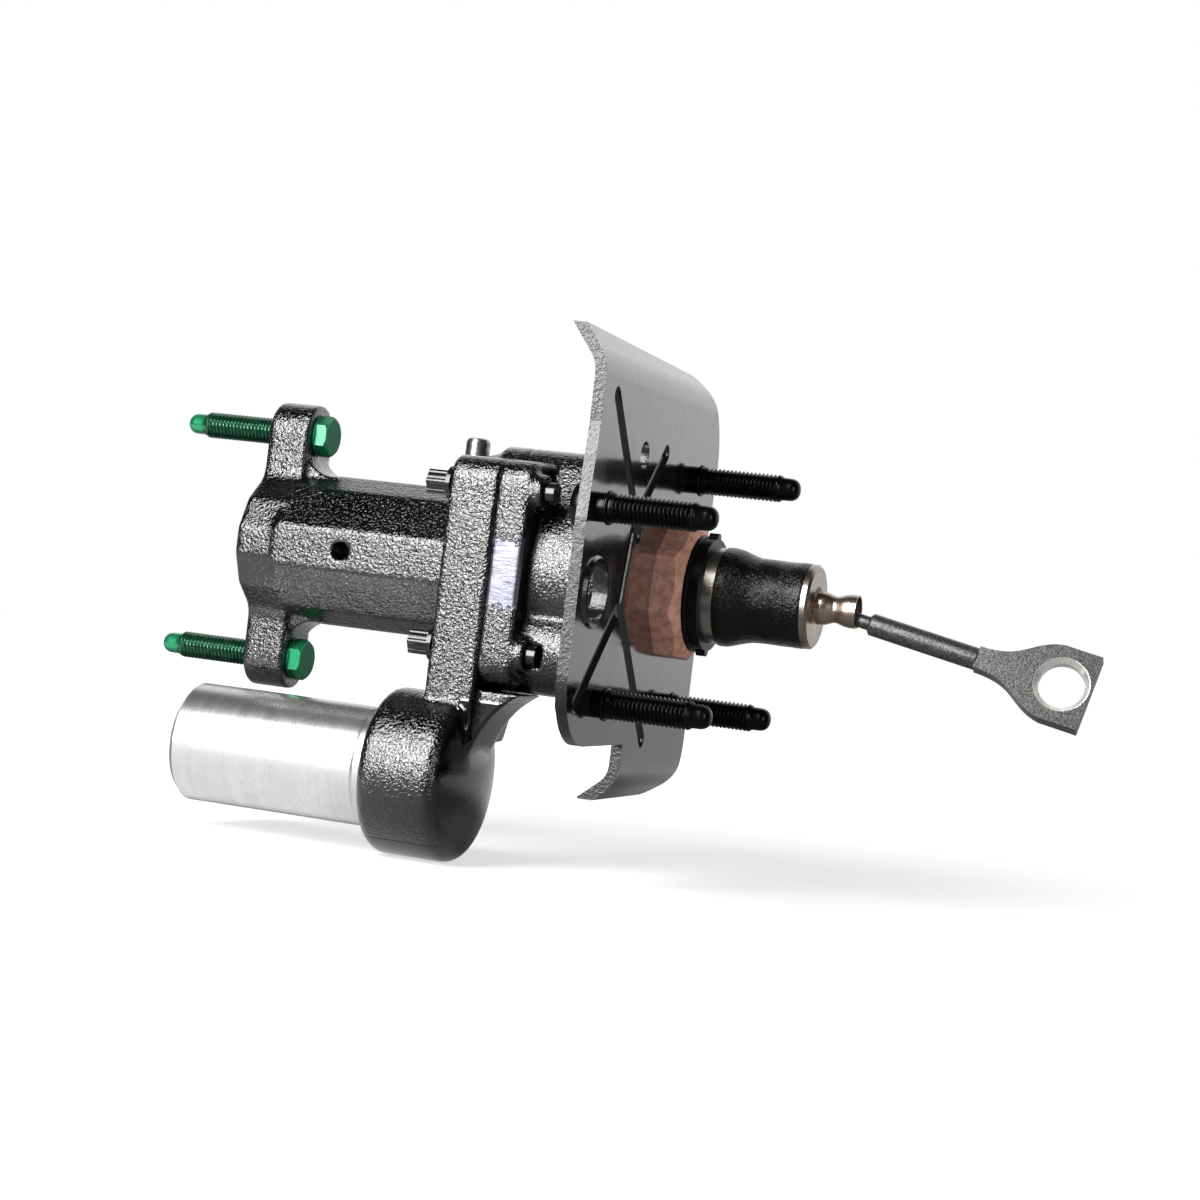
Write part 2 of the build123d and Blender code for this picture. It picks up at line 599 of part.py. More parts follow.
# Snap ring that keeps the canister in the lobe
with BuildPart() as canister_snap_ring:
    revolve(ring(LOBE_FRONT_X + 2 + SEAT, SNAP_RING_T, CANISTER_R - SNAP_RING_W + SEAT,
                 CANISTER_R + SNAP_RING_W, LOBE_AT), axis=axis_at(LOBE_AT))

# Piston between gas and oil inside the canister
with BuildPart() as accumulator_piston:
    gas_bore_r = CANISTER_R - CANISTER_WALL
    revolve(half_section([
        (GAS_PISTON_X, 0), (GAS_PISTON_X, gas_bore_r - RUN), (GAS_PISTON_X + 6, gas_bore_r - RUN),
        (GAS_PISTON_X + 6, gas_bore_r - 2.0), (GAS_PISTON_X + 9, gas_bore_r - 2.0),
        (GAS_PISTON_X + 9, gas_bore_r - RUN), (GAS_PISTON_X + GAS_PISTON_L, gas_bore_r - RUN),
        (GAS_PISTON_X + GAS_PISTON_L, gas_bore_r - 3.0), (GAS_PISTON_X + 4, gas_bore_r - 3.0 - 3.0),
        (GAS_PISTON_X + 4, 0),
    ], LOBE_AT), axis=axis_at(LOBE_AT))

# Seal of that piston
with BuildPart() as accumulator_seal:
    revolve(ring(GAS_PISTON_X + 6 + SEAT, 3.0 - 2 * SEAT, gas_bore_r - 2.0 + SEAT, gas_bore_r - RUN, LOBE_AT),
            axis=axis_at(LOBE_AT))

# Spool valve with its grooves
with BuildPart() as spool_valve:
    spool_r = SPOOL_BORE_R - RUN
    lever_groove = LEVER_TIP_R + 0.1
    revolve(half_section([
        (SPOOL_FRONT_X, 0), (SPOOL_FRONT_X, spool_r),
        (LEVER_X - lever_groove, spool_r), (LEVER_X - lever_groove, SPOOL_GROOVE_R),
        (LEVER_X + lever_groove, SPOOL_GROOVE_R), (LEVER_X + lever_groove, spool_r),
        (-44.0, spool_r), (-44.0, SPOOL_WAIST_R), (-38.0, SPOOL_WAIST_R), (-38.0, spool_r),
        (-31.0, spool_r), (-31.0, SPOOL_WAIST_R), (-25.5, SPOOL_WAIST_R), (-25.5, spool_r),
        (SPOOL_REAR_X, spool_r), (SPOOL_REAR_X, 0),
    ], SPOOL_AT), axis=axis_at(SPOOL_AT))

# Spring in front of the spool
with BuildPart() as spool_spring:
    spool_spring_l = SPOOL_FRONT_X - PLUG_SEAT_X - 2 * SPOOL_SPRING_WIRE_R
    with BuildLine() as spool_coil:
        Helix(
            pitch=spool_spring_l / SPOOL_SPRING_TURNS, height=spool_spring_l, radius=SPOOL_SPRING_R,
            center=(PLUG_SEAT_X + SPOOL_SPRING_WIRE_R, *SPOOL_AT), direction=(1, 0, 0),
        )
    with BuildSketch(spool_coil.edges()[0] ^ 0):
        Circle(SPOOL_SPRING_WIRE_R)
    sweep()

# Plug that closes the spool bore, with a hexagon socket
with BuildPart() as spool_plug:
    with BuildSketch(Plane.YZ.offset(PLUG_SEAT_X)):
        with Locations(SPOOL_AT):
            Circle(PLUG_R)
    extrude(amount=PLUG_FRONT_X - PLUG_SEAT_X)
    with BuildSketch(Plane.YZ.offset(PLUG_FRONT_X)):
        with Locations(SPOOL_AT):
            RegularPolygon(PLUG_HEX_FLATS / 2, 6, major_radius=False)
    extrude(amount=PLUG_HEX_DEPTH, mode=Mode.SUBTRACT)

# Snap ring that keeps the plug in
with BuildPart() as plug_snap_ring:
    revolve(ring(PLUG_FRONT_X - SNAP_RING_T - SEAT, SNAP_RING_T, PLUG_R - SNAP_RING_W,
                 PLUG_R + SNAP_RING_W / 2 - SEAT, SPOOL_AT), axis=axis_at(SPOOL_AT))

# Lever between the power piston side and the spool
with BuildPart() as valve_lever:
    with BuildSketch(Plane.XZ.offset(-SPOOL_AT[0] - LEVER_T / 2)):
        with Locations((LEVER_X, LEVER_TIP_Z)):
            Circle(LEVER_TIP_R)
        with Locations((LEVER_X, (LEVER_TIP_Z + LEVER_LOW_Z) / 2)):
            Rectangle(2 * LEVER_TIP_R - 0.6, LEVER_TIP_Z - LEVER_LOW_Z)
        with Locations((LEVER_X, LEVER_PIVOT_Z)):
            Circle(LEVER_W / 2 + 0.6)
        with Locations((LEVER_X, LEVER_LOW_Z)):
            Circle(LEVER_TIP_R)
        with Locations((LEVER_X, LEVER_PIVOT_Z)):
            Circle(LEVER_PIN_R + RUN, mode=Mode.SUBTRACT)
    extrude(amount=LEVER_T)

# Pin that the lever turns on
with BuildPart() as lever_pin:
    with BuildSketch(Plane.XZ.offset(-SPOOL_AT[0] - LEVER_SLOT_W)):
        with Locations((LEVER_X, LEVER_PIVOT_Z)):
            Circle(LEVER_PIN_R)
    extrude(amount=2 * LEVER_SLOT_W)

# Power piston
with BuildPart() as power_piston:
    seal_x = LAND_FRONT_X + (LAND_T - SEAL_W) / 2
    revolve(half_section([
        (FRONT_SHANK_X, 0), (FRONT_SHANK_X, FRONT_SHANK_R), (LAND_FRONT_X, FRONT_SHANK_R),
        (LAND_FRONT_X, BORE_R - RUN), (seal_x, BORE_R - RUN), (seal_x, BORE_R - SEAL_DEPTH),
        (seal_x + SEAL_W, BORE_R - SEAL_DEPTH), (seal_x + SEAL_W, BORE_R - RUN),
        (LAND_REAR_X, BORE_R - RUN), (LAND_REAR_X, SHANK_R), (HEAD_X, SHANK_R), (HEAD_X, HEAD_R),
        (PISTON_END_X - HEAD_CHAMFER, HEAD_R), (PISTON_END_X, HEAD_R - HEAD_CHAMFER), (PISTON_END_X, 0),
    ]), axis=MAIN_AXIS)
    # socket of the sleeve at the rear
    revolve(half_section([
        (SLEEVE_FRONT_X, 0), (SLEEVE_FRONT_X, SLEEVE_R + SEAT), (PISTON_END_X - 1.6, SLEEVE_R + SEAT),
        (PISTON_END_X, SLEEVE_R + 1.6), (PISTON_END_X + 1, SLEEVE_R + 1.6), (PISTON_END_X + 1, 0),
    ]), axis=MAIN_AXIS, mode=Mode.SUBTRACT)
    # socket of the output rod at the front
    revolve(ring(FRONT_SHANK_X - 1, OUT_ROD_SOCKET_X - FRONT_SHANK_X + 1, 0, OUT_ROD_R + SEAT),
            axis=MAIN_AXIS, mode=Mode.SUBTRACT)

# Seal on the land of the power piston
with BuildPart() as piston_seal:
    revolve(ring(seal_x + SEAT, SEAL_W - 2 * SEAT, BORE_R - SEAL_DEPTH + SEAT, BORE_R - RUN), axis=MAIN_AXIS)

# Seal in the neck
with BuildPart() as input_seal:
    revolve(ring(INPUT_SEAL_X + SEAT, INPUT_SEAL_W - 2 * SEAT, SHANK_R + RUN, INPUT_SEAL_R - SEAT),
            axis=MAIN_AXIS)

# Output rod with its round tip
with BuildPart() as output_rod:
    with BuildSketch(Plane.XY):
        with BuildLine():
            Polyline((OUT_ROD_TIP_X, 0), (OUT_ROD_SOCKET_X, 0), (OUT_ROD_SOCKET_X, OUT_ROD_R),
                     (OUT_ROD_TIP_X + OUT_ROD_R, OUT_ROD_R))
            RadiusArc((OUT_ROD_TIP_X + OUT_ROD_R, OUT_ROD_R), (OUT_ROD_TIP_X, 0), -OUT_ROD_R)
        make_face()
    revolve(axis=MAIN_AXIS)

# Plate that carries the return spring on the piston
with BuildPart() as spring_retainer:
    revolve(half_section([
        (RETAINER_X, OUT_ROD_R + SEAT), (FRONT_SHANK_X, OUT_ROD_R + SEAT), (FRONT_SHANK_X, RETAINER_R),
        (RETAINER_X, RETAINER_R),
    ]), axis=MAIN_AXIS)

# Return spring
with BuildPart() as return_spring:
    spring_l = RETAINER_X - SPRING_SEAT_X - 2 * SPRING_WIRE_R
    with BuildLine() as coil:
        Helix(
            pitch=spring_l / SPRING_TURNS, height=spring_l, radius=SPRING_R,
            center=(SPRING_SEAT_X + SPRING_WIRE_R, 0, 0), direction=(1, 0, 0),
        )
    with BuildSketch(coil.edges()[0] ^ 0):
        Circle(SPRING_WIRE_R)
    sweep()

# Sleeve that holds the ball of the pedal rod in the piston
with BuildPart() as rod_sleeve:
    inner_r = BALL_SEAT_R + RUN
    with BuildSketch(Plane.XY):
        with BuildLine():
            Line((SLEEVE_FRONT_X, inner_r), (SLEEVE_FRONT_X, SLEEVE_R))
            Line((SLEEVE_FRONT_X, SLEEVE_R), (BALL_X, SLEEVE_R))
            Spline((BALL_X, SLEEVE_R), (SLEEVE_WAIST_X, SLEEVE_WAIST_R), (SLEEVE_END_X - 2.2, SLEEVE_R),
                   tangents=((1, 0), (1, 0)))
            Line((SLEEVE_END_X - 2.2, SLEEVE_R), (SLEEVE_END_X, SLEEVE_R))
            Line((SLEEVE_END_X, SLEEVE_R), (SLEEVE_END_X, SLEEVE_R - 0.5))
            Spline((SLEEVE_END_X, SLEEVE_R - 0.5), (SLEEVE_WAIST_X, SLEEVE_WAIST_R - SLEEVE_WALL),
                   (BALL_X + 1.0, inner_r), tangents=((-1, -0.1), (-1, 0)))
            Line((BALL_X + 1.0, inner_r), (SLEEVE_FRONT_X, inner_r))
        make_face()
    revolve(axis=MAIN_AXIS)

# Seat around the ball
with BuildPart() as ball_seat:
    with Locations((BALL_X, 0, 0)):
        Sphere(BALL_SEAT_R)
        Sphere(BALL_R + RUN, mode=Mode.SUBTRACT)
    split(bisect_by=Plane.YZ.offset(BALL_X + BALL_SEAT_REAR), keep=Keep.BOTTOM)
    split(bisect_by=Plane.YZ.offset(BALL_X - BALL_SEAT_FRONT), keep=Keep.TOP)

# Pedal rod: ball, neck, round shaft and flat eye, hanging on its stop
droop, roll = radians(DROOP_DEG), radians(ROLL_DEG)
rod_plane = Plane(
    origin=(BALL_X, 0, 0),
    x_dir=(cos(droop), 0, -sin(droop)),
    z_dir=(sin(roll) * sin(droop), -cos(roll), sin(roll) * cos(droop)),
)
with BuildPart() as pedal_rod:
    with BuildSketch(rod_plane):
        with BuildLine():
            Line((-BALL_R, 0), (EYE_START + 6, 0))
            Line((EYE_START + 6, 0), (EYE_START + 6, ROD_R))
            Polyline((EYE_START + 6, ROD_R), (ROD_START + ROD_CHAMFER, ROD_R),
                     (ROD_START, ROD_R - ROD_CHAMFER), (ROD_START, ROD_NECK_R),
                     (sqrt(BALL_R**2 - ROD_NECK_R**2), ROD_NECK_R))
            ThreePointArc((sqrt(BALL_R**2 - ROD_NECK_R**2), ROD_NECK_R), (0, BALL_R), (-BALL_R, 0))
        make_face()
    revolve(axis=Axis(rod_plane.origin, rod_plane.x_dir))
    with BuildSketch(rod_plane.offset(-EYE_T / 2)) as eye_outline:
        with BuildLine():
            Spline((EYE_START, ROD_R), (EYE_START + 12, ROD_R + 2.2), (EYE_FLARE, EYE_HALF_W),
                   tangents=((1, 0), (1, 0.15)))
            Polyline((EYE_FLARE, EYE_HALF_W), (EYE_END, EYE_HALF_W), (EYE_END, -EYE_HALF_W),
                     (EYE_FLARE, -EYE_HALF_W))
            Spline((EYE_FLARE, -EYE_HALF_W), (EYE_START + 12, -ROD_R - 2.2), (EYE_START, -ROD_R),
                   tangents=((-1, 0.15), (-1, 0)))
            Line((EYE_START, -ROD_R), (EYE_START, ROD_R))
        make_face()
    extrude(amount=EYE_T)
    # the shaft is flattened where the eye begins
    with BuildSketch(rod_plane.offset(EYE_T / 2)):
        with Locations((EYE_START + 20, 0)):
            Rectangle(40, 2 * ROD_R + 2)
    extrude(amount=ROD_R, mode=Mode.SUBTRACT)
    with BuildSketch(rod_plane.offset(-EYE_T / 2)):
        with Locations((EYE_START + 20, 0)):
            Rectangle(40, 2 * ROD_R + 2)
    extrude(amount=-ROD_R, mode=Mode.SUBTRACT)
    with BuildSketch(rod_plane.offset(-EYE_T / 2)):
        with Locations((EYE_AT, 0)):
            Circle(EYE_R)
    extrude(amount=EYE_T, mode=Mode.SUBTRACT)
    for face_at in (EYE_T / 2, -EYE_T / 2):
        with BuildSketch(rod_plane.offset(face_at)):
            with Locations((EYE_AT, 0)):
                Circle(EYE_R + EYE_CHAMFER)
        extrude(amount=-EYE_CHAMFER if face_at > 0 else EYE_CHAMFER, taper=45, mode=Mode.SUBTRACT)

# Bracket plate: bent section, cut to its outline
with BuildPart() as mounting_bracket:
    up, down = radians(TOP_BEND_DEG), radians(LOW_BEND_DEG)

    def top_point(radius, along=0.0):
        """Point on the upper bend's arc of the given radius, or along the lip past it."""
        return (-TOP_BEND_R + radius * cos(up) - along * sin(up),
                TOP_BEND_Z + radius * sin(up) + along * cos(up))

    def low_point(radius, along=0.0):
        """Point on the lower bend's arc of the given radius, or along the lip past it."""
        return (-LOW_BEND_R + radius * cos(down) - along * sin(down),
                LOW_BEND_Z - radius * sin(down) - along * cos(down))

    top_inner, low_inner = TOP_BEND_R - PLATE_T, LOW_BEND_R - PLATE_T
    with BuildSketch(Plane.XZ.offset(-PLATE_FAR - 10)):
        with BuildLine():
            Line((0, LOW_BEND_Z), (0, TOP_BEND_Z))
            CenterArc((-TOP_BEND_R, TOP_BEND_Z), TOP_BEND_R, 0, TOP_BEND_DEG)
            Polyline(top_point(TOP_BEND_R), top_point(TOP_BEND_R, TOP_LIP + 8), top_point(top_inner, TOP_LIP + 8),
                     top_point(top_inner))
            CenterArc((-TOP_BEND_R, TOP_BEND_Z), top_inner, 0, TOP_BEND_DEG)
            Line((-PLATE_T, TOP_BEND_Z), (-PLATE_T, LOW_BEND_Z))
            CenterArc((-LOW_BEND_R, LOW_BEND_Z), low_inner, 0, -LOW_BEND_DEG)
            Polyline(low_point(low_inner), low_point(low_inner, LOW_LIP + 5), low_point(LOW_BEND_R, LOW_LIP + 5),
                     low_point(LOW_BEND_R))
            CenterArc((-LOW_BEND_R, LOW_BEND_Z), LOW_BEND_R, 0, -LOW_BEND_DEG)
        make_face()
    extrude(amount=PLATE_FAR - PLATE_NEAR + 20)
    with BuildSketch(Plane.YZ.offset(-40)) as plate_outline:
        with BuildLine():
            Polyline(
                (PLATE_NEAR, PLATE_STEP_Z + CORNER_NEAR_R), (PLATE_NEAR, 20), (PLATE_NEAR + 3, 52),
                (PLATE_NEAR + 2, PLATE_TOP), (PLATE_FAR - CORNER_TOP_R, PLATE_TOP - PLATE_TOP_FALL),
            )
            RadiusArc((PLATE_FAR - CORNER_TOP_R, PLATE_TOP - PLATE_TOP_FALL),
                      (PLATE_FAR, PLATE_TOP - PLATE_TOP_FALL - CORNER_TOP_R), CORNER_TOP_R)
            Polyline((PLATE_FAR, PLATE_TOP - PLATE_TOP_FALL - CORNER_TOP_R), (PLATE_FAR - 2, 20),
                     (PLATE_FAR - 2, TONGUE_END_Z + CORNER_LOW_R))
            RadiusArc((PLATE_FAR - 2, TONGUE_END_Z + CORNER_LOW_R),
                      (PLATE_FAR - 2 - CORNER_LOW_R, TONGUE_END_Z), CORNER_LOW_R)
            Polyline((PLATE_FAR - 2 - CORNER_LOW_R, TONGUE_END_Z), (TONGUE_NEAR, TONGUE_END_Z),
                     (TONGUE_NEAR, PLATE_STEP_Z), (PLATE_NEAR + CORNER_NEAR_R, PLATE_STEP_Z))
            RadiusArc((PLATE_NEAR + CORNER_NEAR_R, PLATE_STEP_Z),
                      (PLATE_NEAR, PLATE_STEP_Z + CORNER_NEAR_R), CORNER_NEAR_R)
        make_face()
    extrude(amount=60, mode=Mode.INTERSECT)
    # ribs: a ridge on the front, a groove in the rear
    ridge_r = sqrt(RIB_GROOVE_R**2 - (RIB_GROOVE_R - RIB_DEPTH) ** 2) + RIB_WALL / 2
    ridge_x = -RIB_DEPTH - RIB_WALL
    for start, end in RIBS:
        run = Vector(0, end[0] - start[0], end[1] - start[1])
        with BuildSketch(Plane(origin=(ridge_x, *start), x_dir=run, z_dir=(1, 0, 0))):
            with Locations((run.length / 2, 0)):
                SlotCenterToCenter(run.length, 2 * (ridge_r - 1))
        extrude(amount=PLATE_T / 2 - PLATE_T - ridge_x, taper=-25)
    for start, end in RIBS:
        run = Vector(0, end[0] - start[0], end[1] - start[1])
        groove_x = RIB_GROOVE_R - RIB_DEPTH
        with BuildSketch(Plane(origin=(groove_x, *start), z_dir=run)):
            Circle(RIB_GROOVE_R)
        extrude(amount=run.length, mode=Mode.SUBTRACT)
        with Locations((groove_x, *start), (groove_x, *end)):
            Sphere(RIB_GROOVE_R, mode=Mode.SUBTRACT)
    # window with its raised lip, small hole, neck hole and stud holes
    with BuildSketch(Plane.YZ):
        with Locations(WINDOW_AT):
            Circle(WINDOW_R + WINDOW_LIP_W)
    extrude(amount=WINDOW_LIP_H, taper=30)
    with BuildSketch(Plane.YZ.offset(-PLATE_T - 4)):
        with Locations(WINDOW_AT):
            Circle(WINDOW_R)
        with Locations(SMALL_HOLE_AT):
            Circle(SMALL_HOLE_R)
        Circle(NECK_THREAD_R + SEAT)
        with Locations(*STUDS_AT):
            Circle(STUD_R + SEAT)
    extrude(amount=PLATE_T + 8, mode=Mode.SUBTRACT)

# Firewall studs
with BuildPart() as bracket_studs:
    for at in STUDS_AT:
        with BuildSketch(Plane(origin=(0, *at), x_dir=(1, 0, 0), z_dir=(0, 0, 1))):
            with BuildLine():
                Polyline(
                    (STUD_TIP_X, 0), (-PLATE_T - STUD_HEAD_T, 0), (-PLATE_T - STUD_HEAD_T, STUD_HEAD_R - 1),
                    (-PLATE_T - STUD_HEAD_T + 1, STUD_HEAD_R), (-PLATE_T, STUD_HEAD_R), (-PLATE_T, STUD_R),
                    (COLLAR_X, STUD_R), (COLLAR_X, COLLAR_R), (COLLAR_X + COLLAR_T, COLLAR_R),
                    (COLLAR_X + COLLAR_T, STUD_R), (STUD_TIP_X - STUD_POINT_L - 1, STUD_R),
                    (STUD_TIP_X - STUD_POINT_L, STUD_POINT_R), (STUD_TIP_X - STUD_POINT_R / 2, STUD_POINT_R),
                )
                EllipticalCenterArc((STUD_TIP_X - STUD_POINT_R / 2, 0), STUD_POINT_R / 2, STUD_POINT_R, arc_size=90)
            make_face()
        revolve(axis=axis_at(at))

# Eight-sided nut on the neck
with BuildPart() as bracket_nut:
    with BuildSketch(Plane.YZ):
        RegularPolygon(NUT_FLATS / 2, NUT_SIDES, major_radius=False, rotation=-NUT_TURN_DEG)
        Circle(NECK_THREAD_R + SEAT, mode=Mode.SUBTRACT)
    extrude(amount=NUT_T)
    corner_r = NUT_FLATS / 2 / cos(radians(180 / NUT_SIDES))
    revolve(half_section([
        (-1, 0), (NUT_T, 0), (NUT_T, NUT_CHAMFER_R), (NUT_CHAMFER_X, corner_r), (-1, corner_r),
    ]), axis=MAIN_AXIS, mode=Mode.INTERSECT)

# Lock ring behind the nut
with BuildPart() as lock_ring:
    revolve(half_section([
        (LOCK_RING_X, NECK_R + SEAT), (LOCK_RING_X + LOCK_RING_T, NECK_R + SEAT),
        (LOCK_RING_X + LOCK_RING_T, LOCK_RING_R - 0.6), (LOCK_RING_X + LOCK_RING_T - 0.6, LOCK_RING_R),
        (LOCK_RING_X, LOCK_RING_R),
    ]), axis=MAIN_AXIS)

# Clip ring with its two ears
with BuildPart() as clip_ring:
    revolve(ring(CLIP_RING_X, CLIP_RING_T, NECK_R + SEAT, CLIP_RING_R), axis=MAIN_AXIS)
    with BuildSketch(Plane.YZ.offset(CLIP_RING_X)):
        with Locations((0, CLIP_RING_R), (0, -CLIP_RING_R)):
            Circle(CLIP_EAR_R)
    extrude(amount=CLIP_RING_T)
    revolve(ring(CLIP_RING_X - 1, CLIP_RING_T + 2, 0, NECK_R + SEAT), axis=MAIN_AXIS, mode=Mode.SUBTRACT)

# Rubber boot from the neck to the head of the piston
with BuildPart() as boot:
    with BuildSketch(Plane.XY):
        with BuildLine():
            Line((BOOT_MOUTH_X, NECK_R + SEAT), (BOOT_MOUTH_X, BOOT_MOUTH_R))
            Line((BOOT_MOUTH_X, BOOT_MOUTH_R), (NECK_END_X, BOOT_MOUTH_R - 0.1))
            Spline((NECK_END_X, BOOT_MOUTH_R - 0.1), ((NECK_END_X + BOOT_NECK_X) / 2, BOOT_BODY_R + BOOT_WAIST),
                   (BOOT_NECK_X, BOOT_BODY_R), tangents=((1, -0.15), (1, 0)))
            Line((BOOT_NECK_X, BOOT_BODY_R), (HEAD_X - SEAT, BOOT_BODY_R))
            Line((HEAD_X - SEAT, BOOT_BODY_R), (HEAD_X - SEAT, SHANK_R + SEAT))
            Polyline((HEAD_X - SEAT, SHANK_R + SEAT), (HEAD_X - BOOT_BEAD_L, SHANK_R + SEAT),
                     (HEAD_X - BOOT_BEAD_L, BOOT_BODY_R - BOOT_WALL), (BOOT_NECK_X, BOOT_BODY_R - BOOT_WALL))
            Spline((BOOT_NECK_X, BOOT_BODY_R - BOOT_WALL),
                   ((NECK_END_X + BOOT_NECK_X) / 2, BOOT_BODY_R + BOOT_WAIST - BOOT_WALL),
                   (NECK_END_X, NECK_R + SEAT), tangents=((-1, 0), (-1, 0.15)))
            Line((NECK_END_X, NECK_R + SEAT), (BOOT_MOUTH_X, NECK_R + SEAT))
        make_face()
    revolve(axis=MAIN_AXIS)

# Bolts for the master cylinder
with BuildPart() as flange_bolts:
    for z in (EAR_Z, -EAR_Z):
        revolve(half_section([
            (FLANGE_BOLT_TIP_X, 0), (FLANGE_BOLT_TIP_X + 0.4, FLANGE_BOLT_POINT_R - 1.6),
            (FLANGE_BOLT_TIP_X + 2.2, FLANGE_BOLT_POINT_R),
            (FLANGE_BOLT_TIP_X + FLANGE_BOLT_POINT_L, FLANGE_BOLT_POINT_R),
            (FLANGE_BOLT_TIP_X + FLANGE_BOLT_POINT_L + 1.2, FLANGE_BOLT_R),
            (NOSE_X - FLANGE_BOLT_SHANK_OUT, FLANGE_BOLT_R), (NOSE_X - FLANGE_BOLT_SHANK_OUT, FLANGE_BOLT_SHANK_R),
            (EAR_REAR_X, FLANGE_BOLT_SHANK_R), (EAR_REAR_X, 0),
        ], (0, z)), axis=axis_at((0, z)))
        with BuildSketch(Plane.YZ.offset(EAR_REAR_X)):
            with Locations((0, z)):
                RegularPolygon(FLANGE_BOLT_FLATS / 2, 6, major_radius=False)
        extrude(amount=FLANGE_BOLT_HEAD_T)

# Seats for the two pipes, at the bottom of the ports
with BuildPart() as tube_seats:
    for port_z in (PRESSURE_PORT_Z, GEAR_PORT_Z):
        with BuildSketch(Plane.XZ.offset(PORT_DEPTH + TUBE_SEAT_SUNK + TUBE_SEAT_L - PORT_FACE_Y)):
            with Locations((PORT_X, port_z)):
                Circle(TUBE_SEAT_R)
                Circle(TUBE_SEAT_BORE_R, mode=Mode.SUBTRACT)
        extrude(amount=-TUBE_SEAT_L, taper=20)

# Nipple for the return hose
with BuildPart() as return_nipple:
    with BuildSketch(Plane.XZ.offset(-NIPPLE_AT[1])):
        with BuildLine():
            Polyline(
                (NIPPLE_AT[0] + NIPPLE_BORE_R, COVER_BORE_R + 2), (NIPPLE_AT[0] + NIPPLE_ROOT_R, COVER_BORE_R + 2),
                (NIPPLE_AT[0] + NIPPLE_ROOT_R, NIPPLE_BOSS_Z), (NIPPLE_AT[0] + NIPPLE_R, NIPPLE_BOSS_Z),
                (NIPPLE_AT[0] + NIPPLE_R, NIPPLE_TOP_Z - NIPPLE_ROUND),
                (NIPPLE_AT[0] + NIPPLE_R - 0.5, NIPPLE_TOP_Z - 0.5),
                (NIPPLE_AT[0] + NIPPLE_BORE_R + 0.2, NIPPLE_TOP_Z), (NIPPLE_AT[0] + NIPPLE_BORE_R, NIPPLE_TOP_Z - 0.2),
                close=True,
            )
        make_face()
    revolve(axis=Axis((*NIPPLE_AT, 0), (0, 0, 1)))

PIECES = {
    "cover_casting": cover_casting,
    "housing_casting": housing_casting,
    "cover_seals": cover_seals,
    "cover_bolts": cover_bolts,
    "accumulator_canister": accumulator_canister,
    "canister_snap_ring": canister_snap_ring,
    "accumulator_piston": accumulator_piston,
    "accumulator_seal": accumulator_seal,
    "spool_valve": spool_valve,
    "spool_spring": spool_spring,
    "spool_plug": spool_plug,
    "plug_snap_ring": plug_snap_ring,
    "valve_lever": valve_lever,
    "lever_pin": lever_pin,
    "power_piston": power_piston,
    "piston_seal": piston_seal,
    "input_seal": input_seal,
    "output_rod": output_rod,
    "spring_retainer": spring_retainer,
    "return_spring": return_spring,
    "rod_sleeve": rod_sleeve,
    "ball_seat": ball_seat,
    "pedal_rod": pedal_rod,
    "mounting_bracket": mounting_bracket,
    "bracket_studs": bracket_studs,
    "bracket_nut": bracket_nut,
    "lock_ring": lock_ring,
    "clip_ring": clip_ring,
    "boot": boot,
    "flange_bolts": flange_bolts,
    "tube_seats": tube_seats,
    "return_nipple": return_nipple,
}

os.makedirs("parts", exist_ok=True)
for label, piece in PIECES.items():
    piece.part.label = label
    export_step(piece.part, f"parts/{label}.step")
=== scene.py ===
"""Looks of a hydraulic brake booster, laid out as a Blender add-on and run as a script."""

import json
from math import cos, pi, radians, sin

import bmesh
import bpy
import numpy as np
from bpy.props import FloatProperty, FloatVectorProperty, IntProperty, PointerProperty
from mathutils import Matrix, Vector


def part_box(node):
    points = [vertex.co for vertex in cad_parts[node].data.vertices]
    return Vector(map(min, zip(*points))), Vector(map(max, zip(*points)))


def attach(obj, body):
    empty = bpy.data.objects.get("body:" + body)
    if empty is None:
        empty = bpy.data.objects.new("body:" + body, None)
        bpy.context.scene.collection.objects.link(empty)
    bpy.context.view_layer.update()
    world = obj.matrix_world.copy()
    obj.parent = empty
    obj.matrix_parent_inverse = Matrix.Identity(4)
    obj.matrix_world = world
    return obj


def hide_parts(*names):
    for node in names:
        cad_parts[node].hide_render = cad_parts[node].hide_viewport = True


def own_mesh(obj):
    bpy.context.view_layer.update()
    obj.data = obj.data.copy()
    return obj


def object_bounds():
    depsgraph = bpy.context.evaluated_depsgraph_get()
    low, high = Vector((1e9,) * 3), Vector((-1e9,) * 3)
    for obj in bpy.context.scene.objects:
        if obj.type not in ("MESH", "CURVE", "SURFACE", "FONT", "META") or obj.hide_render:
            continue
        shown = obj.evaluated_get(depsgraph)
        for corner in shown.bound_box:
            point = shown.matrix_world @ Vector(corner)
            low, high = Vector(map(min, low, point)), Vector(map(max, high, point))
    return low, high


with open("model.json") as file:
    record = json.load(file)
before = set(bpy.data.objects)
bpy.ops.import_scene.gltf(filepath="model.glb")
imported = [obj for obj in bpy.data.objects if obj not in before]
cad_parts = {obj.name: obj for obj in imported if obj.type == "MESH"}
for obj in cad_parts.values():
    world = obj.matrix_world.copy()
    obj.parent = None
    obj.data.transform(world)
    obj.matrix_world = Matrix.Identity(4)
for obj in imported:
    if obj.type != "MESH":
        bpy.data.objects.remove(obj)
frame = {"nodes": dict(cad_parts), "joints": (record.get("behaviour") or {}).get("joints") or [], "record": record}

bl_info = {
    "name": "Hydraulic Brake Booster",
    "version": (1, 0, 0),
    "blender": (4, 5, 0),
    "location": "3D View > Sidebar > Booster",
    "description": "Builds the visible surfaces and finishes of a hydraulic brake booster",
    "category": "Object",
}

